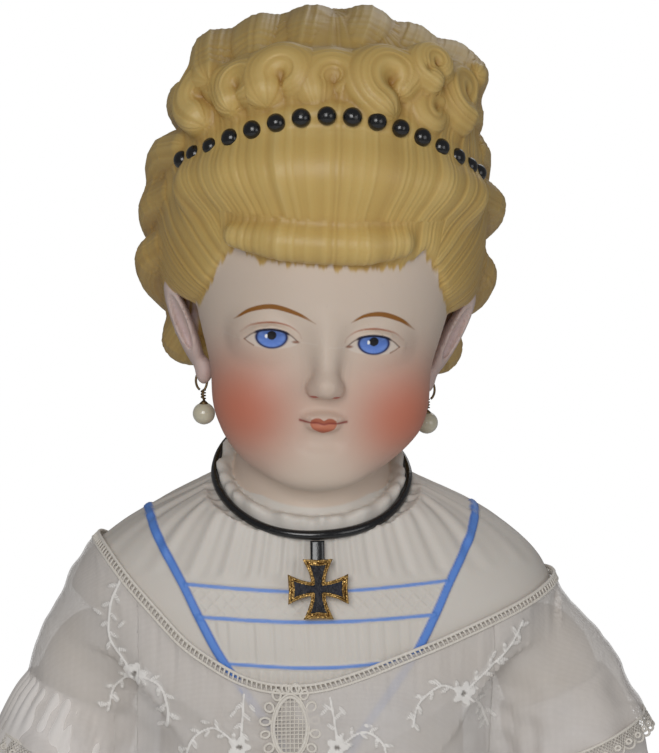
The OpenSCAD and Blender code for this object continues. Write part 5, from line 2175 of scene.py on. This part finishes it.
def fold_wave(angle, z, top, bottom, seed=0.0, count=34):
    """Depth of gathers (-1 to 1): many small ones at the waist that run together into soft folds below."""
    t = np.clip((top - z) / (top - bottom), 0, 1)
    drift = 0.9 * np.sin(angle * 3 + seed) + 0.5 * np.sin(angle * 7 + 2 * seed + 2 * t)
    broad = np.sin(angle * count / 2 + drift + 0.8 * np.sin(t * 3 + seed))
    fine = np.sin(angle * count * 1.5 + 2.2 * drift + seed)
    share = np.clip(t * 2.6, 0, 1)
    return (1 - share) * fine + share * (0.85 * broad + 0.15 * fine)


def build_skirt_sheet(name, rows, depth_top, depth_low, seed, count, tucks=(), rings=150, around=760,
                      inset=0.0):
    rows = soften(rows, 2.2)
    top, bottom = rows[-1, 0], rows[0, 0]
    slope = np.concatenate([[0], np.cumsum(np.hypot(np.diff(rows[:, 0]), np.diff(rows[:, 1])))])
    at = np.linspace(0, slope[-1], rings)
    z = np.interp(at, slope, rows[:, 0])
    half = np.interp(at, slope, rows[:, 1]) - inset
    front = np.interp(at, slope, rows[:, 2]) + inset
    back = np.interp(at, slope, rows[:, 3]) - inset
    angle = round_angles(around)
    a, zz = np.meshgrid(angle, z)
    t = np.clip((top - zz) / (top - bottom), 0, 1)
    wave = fold_wave(a, zz, top, bottom, seed, count)
    depth = depth_top + (depth_low - depth_top) * ease(0.0, 0.8, t)
    push = wave * depth - depth * 0.3
    push += 0.35 * t * np.sin(a * 61 + 9 * np.sin(a * 4) + zz * 0.03)
    for height in tucks:
        push += 0.9 * ease(1.6, 0.5, np.abs(zz - height)) * (zz > height - 0.9)
    middle, deep = (front + back)[:, None] / 2, (back - front)[:, None] / 2
    x = (half[:, None] + push) * np.cos(a)
    y = middle + (deep + push) * np.sin(a)
    dip = 3.2 * t * (1 - t) * np.sin(a * count / 4 + seed)
    points = np.stack([x, y, np.where(t > 0.999, zz, zz + dip)], axis=2)
    made = mesh_from(name, points.reshape(-1, 3) * MM, ring_faces(rings, around))
    thicken(made, SKIRT_THICKNESS)
    return made, points


EYELET_PITCH = 8.0
EYELET_LACE_DEPTH = 13.4
HEM_HEIGHT = 14.6
HOLE_HEIGHT = 6.6
HOLE_RADIUS = 1.55


def build_hem_lace(hem):
    """Eyelet edging: a strip with round holes, slits and a scalloped edge, hung from the skirt's hem line."""
    closed = np.concatenate([hem, hem[:1]])
    length = path_length(closed)
    repeats = int(round(length[-1] / EYELET_PITCH))
    across, down = 14, 22
    columns = repeats * across
    at = np.arange(columns) * length[-1] / columns
    base = np.stack([np.interp(at, length, closed[:, i]) for i in range(3)], axis=1)
    u = (np.arange(columns) % across + 0.5) / across * EYELET_PITCH - EYELET_PITCH / 2
    out = base * np.array([1, 1, 0])
    out /= np.linalg.norm(out, axis=1)[:, None]
    edge = EYELET_LACE_DEPTH - 1.7 + 1.7 * np.cos(u / EYELET_PITCH * 2 * np.pi)
    points = []
    for j in range(down + 1):
        drop = edge * j / down
        lift = 0.35 * np.sin(j / down * np.pi) + 0.12 * np.cos(u / EYELET_PITCH * 4 * np.pi)
        row = base + out * (lift + 0.3)[:, None]
        row[:, 2] = HEM_HEIGHT - drop
        points.append(row)
    points = np.concatenate(points)
    faces = []
    for j in range(down):
        for k in range(columns):
            m = (k + 1) % columns
            v = (j + 0.5) / down * EYELET_LACE_DEPTH
            big = (u[k] / HOLE_RADIUS) ** 2 + ((v - HOLE_HEIGHT) / HOLE_RADIUS) ** 2 < 1
            pair = ((abs(u[k]) - 3.0) / 0.8) ** 2 + ((v - 4.2) / 1.4) ** 2 < 1
            dot = ((abs(u[k]) - 1.5) / 0.7) ** 2 + ((v - 10.4) / 0.7) ** 2 < 1
            if big or pair or dot:
                continue
            faces.append((j * columns + k, j * columns + m, (j + 1) * columns + m, (j + 1) * columns + k))
    made = mesh_from("hem_eyelet_lace", points * MM, faces)
    thicken(made, HEM_LACE_THICKNESS)
    rings = []
    for i in range(repeats):
        centre_at = (i + 0.5) * length[-1] / repeats
        index = int(centre_at / length[-1] * columns) % columns
        c, o = base[index], out[index]
        side = np.cross([0, 0, 1], o)
        loop = [c + side * 1.65 * math.cos(b) + o * 0.75
                + np.array([0, 0, HEM_HEIGHT - c[2] - HOLE_HEIGHT + 1.65 * math.sin(b)])
                for b in round_angles(12)]
        rings.append(path_tube("ring", loop, 0.34, 5, closed=True))
    worked = merge("hem_lace_rings", rings)
    return made, worked


def build_waistband():
    rows = [[344.6, 29.9, -19.4, 18.5], [349.5, 30.0, -19.5, 18.5], [354.4, 30.3, -19.7, 18.9]]
    table = soften(rows, 0.8, 0.4)
    around = 260
    points = []
    for i, (z, half, front, back) in enumerate(table):
        t = i / (len(table) - 1)
        for k in range(around):
            a = 2 * math.pi * k / around
            rib = 0.1 * math.sin(t * math.pi * 10)
            puff = 0.55 * math.sin(math.pi * t) + rib + 0.12 * math.sin(a * 9 + 2 * math.sin(a * 2) + t * 3)
            deep = (back - front) / 2 + puff
            points.append(((half + puff) * math.cos(a), (front + back) / 2 + deep * math.sin(a), z))
    band = mesh_from("waistband_cloth", np.array(points) * MM, ring_faces(len(table), around))
    thicken(band, WAISTBAND_THICKNESS)
    cords = []
    for i in (0, len(table) - 1):
        cords.append(path_tube("piping", np.array(points[i * around:(i + 1) * around]), 0.42, 8, closed=True))
    return band, merge("waist_piping", cords)


BUTTON_PROFILE = [(0.1, -0.4), (1.9, -0.35), (2.2, 0.0), (2.2, 0.45), (1.9, 0.75), (1.4, 0.55), (0.1, 0.5)]
BUTTON_COUNT = 5
BUTTON_LOWEST = 362
BUTTON_PITCH = 12.0


def build_buttons(clay):
    """Five shell buttons down the back placket, each with a rim and two sewn holes."""
    made = []
    for i in range(BUTTON_COUNT):
        placed, out = surface_path(clay, [(0, 22, BUTTON_LOWEST + BUTTON_PITCH * i)], 0.55)
        at, normal = placed[0], out[0]
        made.append(turned("button", BUTTON_PROFILE, at, normal, 24))
        side = np.cross(normal, [0, 0, 1])
        side /= np.linalg.norm(side)
        for s in (-1, 1):
            base = at + side * 0.55 * s + normal * 0.55
            loop = [base + np.array([0, 0, -0.5]), base + normal * 0.25, base + np.array([0, 0, 0.5])]
            made.append(path_tube("stitch", loop, 0.16, 5))
    return merge("back_button_row", made)


def shell_material():
    look = Look("button_shell")
    where = look.coords()
    cloud = look.noise(500, 4, 0.6, where)
    colour = look.mix(cloud, (0.72, 0.70, 0.64), (0.60, 0.62, 0.60))
    look.set(Base_Color=colour, Roughness=look.math("MULTIPLY_ADD", cloud, 0.2, 0.2), Coat_Weight=0.4)
    look.set(Normal=look.bump(cloud, 0.2, 0.0002))
    return look.material


def build_drawers(side):
    matrix, origin = upright(side, HIP_HEIGHT)
    name = side_name(side)
    rows = np.array([(3, 14.2), (20, 15.4), (60, 15.7), (100, 15.9), (112, 15.6), (116, 14.6), (119, 15.6),
                     (128, 17.6)])
    stations = arc_line(rows, 10)
    around = 160
    points = []
    for z, r in stations:
        frill = ease(116, 127, z)
        for k in range(around):
            a = 2 * math.pi * k / around
            wave = (
                0.45 * math.sin(a * 12 + 1.5 * math.sin(a * 3 + side))
                + 0.3 * math.sin(z * 0.2 + 3 * math.sin(a))
            )
            wave += 0.9 * frill * math.sin(a * 17)
            tuck = 0.4 * sum(math.exp(-((z - h) / 0.5) ** 2) for h in (98, 102, 106))
            points.append(((r + wave + tuck) * math.cos(a), (r + wave + tuck) * math.sin(a), z))
    faces = ring_faces(len(stations), around, flipped=True)
    made = mesh_from("drawers_cloth_" + name, place(points, matrix, origin) * MM, faces)
    thicken(made, LAWN_THICKNESS)
    last = place(points[-around:], matrix, origin)
    out = last - last.mean(0)
    out /= np.linalg.norm(out, axis=1)[:, None]
    lace = scallop_lace("drawers_lace_" + name, last, np.array([0, 0, -1.0]), out, depth=4.0, pitch=3.2)
    return made, lace


def build_torso():
    table = soften(TORSO_ROWS, 1.2)
    around = 120
    points = []
    for z, half, front, back in table:
        for k in range(around):
            a = 2 * math.pi * k / around
            c, s = math.cos(a), math.sin(a)
            shape = (abs(c) ** 2.4 + abs(s) ** 2.4) ** (-1 / 2.4)
            lump = 0.35 * math.sin(a * 4 + z * 0.09) + 0.25 * math.sin(a * 7 - z * 0.13)
            seam = (
                -0.7 * (math.exp(-((abs(c)) / 0.03) ** 2) if s > 0 else 0)
                - 0.5 * math.exp(-((1 - abs(c)) / 0.004) ** 2)
            )
            deep = (back - front) / 2 + lump + seam
            points.append(((half + lump + seam) * c * shape, (front + back) / 2 + deep * s * shape, z))
    faces = ring_faces(len(table), around) + end_faces(len(table), around)
    return mesh_from("torso_muslin", np.array(points) * MM, faces)


def build_stuffing():
    clay = Clay((-30, -22, 312), (30, 22, 440), 1.6)
    x, y, z = clay.open_grid()
    rows = np.array(TORSO_ROWS, dtype=np.float64)
    rows[:, 1] -= 3.2
    rows[:, 2] += 3.2
    rows[:, 3] -= 3.2
    field = capped(rows_field(soften(rows, 1.2), 2.3), 316, 433)(x, y, z)
    lump = (
        0.7 * np.sin(x * 0.55 + 1.3 * np.sin(z * 0.3)) * np.sin(z * 0.42 + y * 0.3)
        + 0.4 * np.sin(x * 1.1 + y * 0.9 + z * 0.8)
    )
    clay.d = (even_gradient(field, clay.step) + lump).astype(np.float32)
    return clay_object("sawdust_stuffing", clay)


def stuffing_material():
    look = Look("stuffing")
    where = look.coords()
    grain = look.noise(800, 5, 0.75, where)
    colour = look.mix(grain, (0.40, 0.26, 0.12), (0.64, 0.48, 0.28))
    look.set(Base_Color=colour, Roughness=look.math("MULTIPLY_ADD", grain, 0.1, 0.85))
    look.set(Normal=look.bump(grain, 0.9, 0.0008))
    return look.material


# ---------------------------------------------------------------- putting the doll together

def settle(obj, body, node, material=None):
    """Gives a piece its body, the CAD node that it stands for and its material."""
    if material is not None:
        obj.data.materials.append(material)
    if body:
        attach(obj, body)
    if node:
        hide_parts(node)
    return obj


def make_head():
    bisque = bisque_material()
    settle(build_head(), "doll_body", "shoulder_head", bisque)
    settle(build_beads(), "doll_body", "hair_beads", black_gloss())
    settle(build_choker(), "doll_body", "choker_ribbon", black_gloss())
    gold, inlay, strap = build_pendant()
    settle(gold, "pendant", "cross_pendant", gilt_material())
    settle(inlay, "pendant", "cross_inlay", enamel_material())
    settle(strap, "pendant", "pendant_strap", black_gloss())
    wire_look, pearl_look = bronze_material(), pearl_material()
    for side in (-1, 1):
        name = side_name(side)
        wire, pearl = build_earring(side)
        settle(wire, "earring_" + name, "ear_wire_" + name, wire_look)
        settle(pearl, "earring_" + name, "pearl_" + name, pearl_look)
    return bisque


def make_dress():
    lawn, plain, thread = lawn_material(), lawn_material("lawn_plain", 0.06, worked=False), thread_material()
    bodice, caps, garment, neck_edge = build_bodice()
    settle(bodice, "doll_body", "dress_bodice", lawn)
    line, out = surface_path(garment, neck_edge, 0.3)
    trim = settle(ladder("neckline_entredeux", line, out), "doll_body", "neckline_trim", thread)
    medal = settle(build_medallion(garment), "doll_body", "neck_medallion", thread)
    for side in (-1, 1):
        name = side_name(side)
        cap = caps[side]
        settle(cap, None, "sleeve_cap_" + name, lawn)
        lace = scallop_lace("cap_lace_" + name, *cap_ring(garment, side), depth=3.8)
        settle(lace, "arm_" + name, None, thread)
        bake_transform(cap)
        sleeve, sleeve_trim = build_sleeve(side)
        settle(sleeve, "arm_" + name, "sleeve_" + name, plain)
        settle(sleeve_trim, "arm_" + name, None, thread)
    settle(build_buttons(garment), "doll_body", "back_buttons", shell_material())
    band, piping = build_waistband()
    settle(band, "doll_body", "waistband", plain)
    settle(piping, "doll_body", None, plain)
    skirt, rings = build_skirt_sheet("skirt_cloth", SKIRT_ROWS, 0.7, 4.4, 0.4, 34, tucks=(44, 50, 56))
    settle(skirt, "doll_body", "dress_skirt", plain)
    lace, lace_rings = build_hem_lace(rings[0])
    settle(lace, "doll_body", "hem_lace", plain)
    settle(lace_rings, "doll_body", None, thread)
    under, _ = build_skirt_sheet("petticoat_cloth", SKIRT_ROWS[:-3], 0.8, 3.0, 2.1, 26, inset=PETTICOAT_INSET,
                                 rings=90, around=520)
    settle(under, "doll_body", "petticoat", plain)
    for side in (-1, 1):
        drawers, lace = build_drawers(side)
        settle(drawers, "leg_" + side_name(side), "drawers_" + side_name(side), plain)
        settle(lace, "leg_" + side_name(side), None, thread)
    return thread


def make_body(bisque, thread):
    muslin = muslin_material()
    torso = settle(build_torso(), "doll_body", "torso_cover", muslin)
    stuffing = settle(build_stuffing(), "doll_body", "torso_stuffing", stuffing_material())
    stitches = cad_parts["plate_stitches"]
    stitches.data.materials.clear()
    stitches.data.materials.append(thread)
    for side in (-1, 1):
        name = side_name(side)
        upper = stuffed("upper_arm_muslin_" + name, ARM_STATIONS, *arm_matrix(side), seed=side)
        settle(upper, "arm_" + name, "upper_arm_" + name, muslin)
        matrix, origin = forearm_matrix(side)
        lower = stuffed("lower_arm_muslin_" + name, ELBOW_STATIONS, matrix, origin, seed=2 + side)
        settle(lower, "lower_arm_" + name, "elbow_" + name, muslin)
        forearm, binding = build_forearm(side)
        settle(forearm, "lower_arm_" + name, "forearm_" + name, bisque)
        settle(binding, "lower_arm_" + name, "arm_binding_" + name, thread)
        thigh = stuffed("thigh_muslin_" + name, THIGH_STATIONS, *upright(side, HIP_HEIGHT), seed=4 + side)
        settle(thigh, "leg_" + name, "thigh_" + name, muslin)
        calf = stuffed("calf_muslin_" + name, CALF_STATIONS, *upright(side, KNEE_HEIGHT), seed=6 + side)
        settle(calf, "shank_" + name, "calf_" + name, muslin)
        shin, binding = build_lower_leg(side)
        settle(shin, "shank_" + name, "lower_leg_" + name, bisque)
        settle(binding, "shank_" + name, "leg_binding_" + name, thread)


make_stage()
bisque_look = make_head()
thread_look = make_dress()
make_body(bisque_look, thread_look)
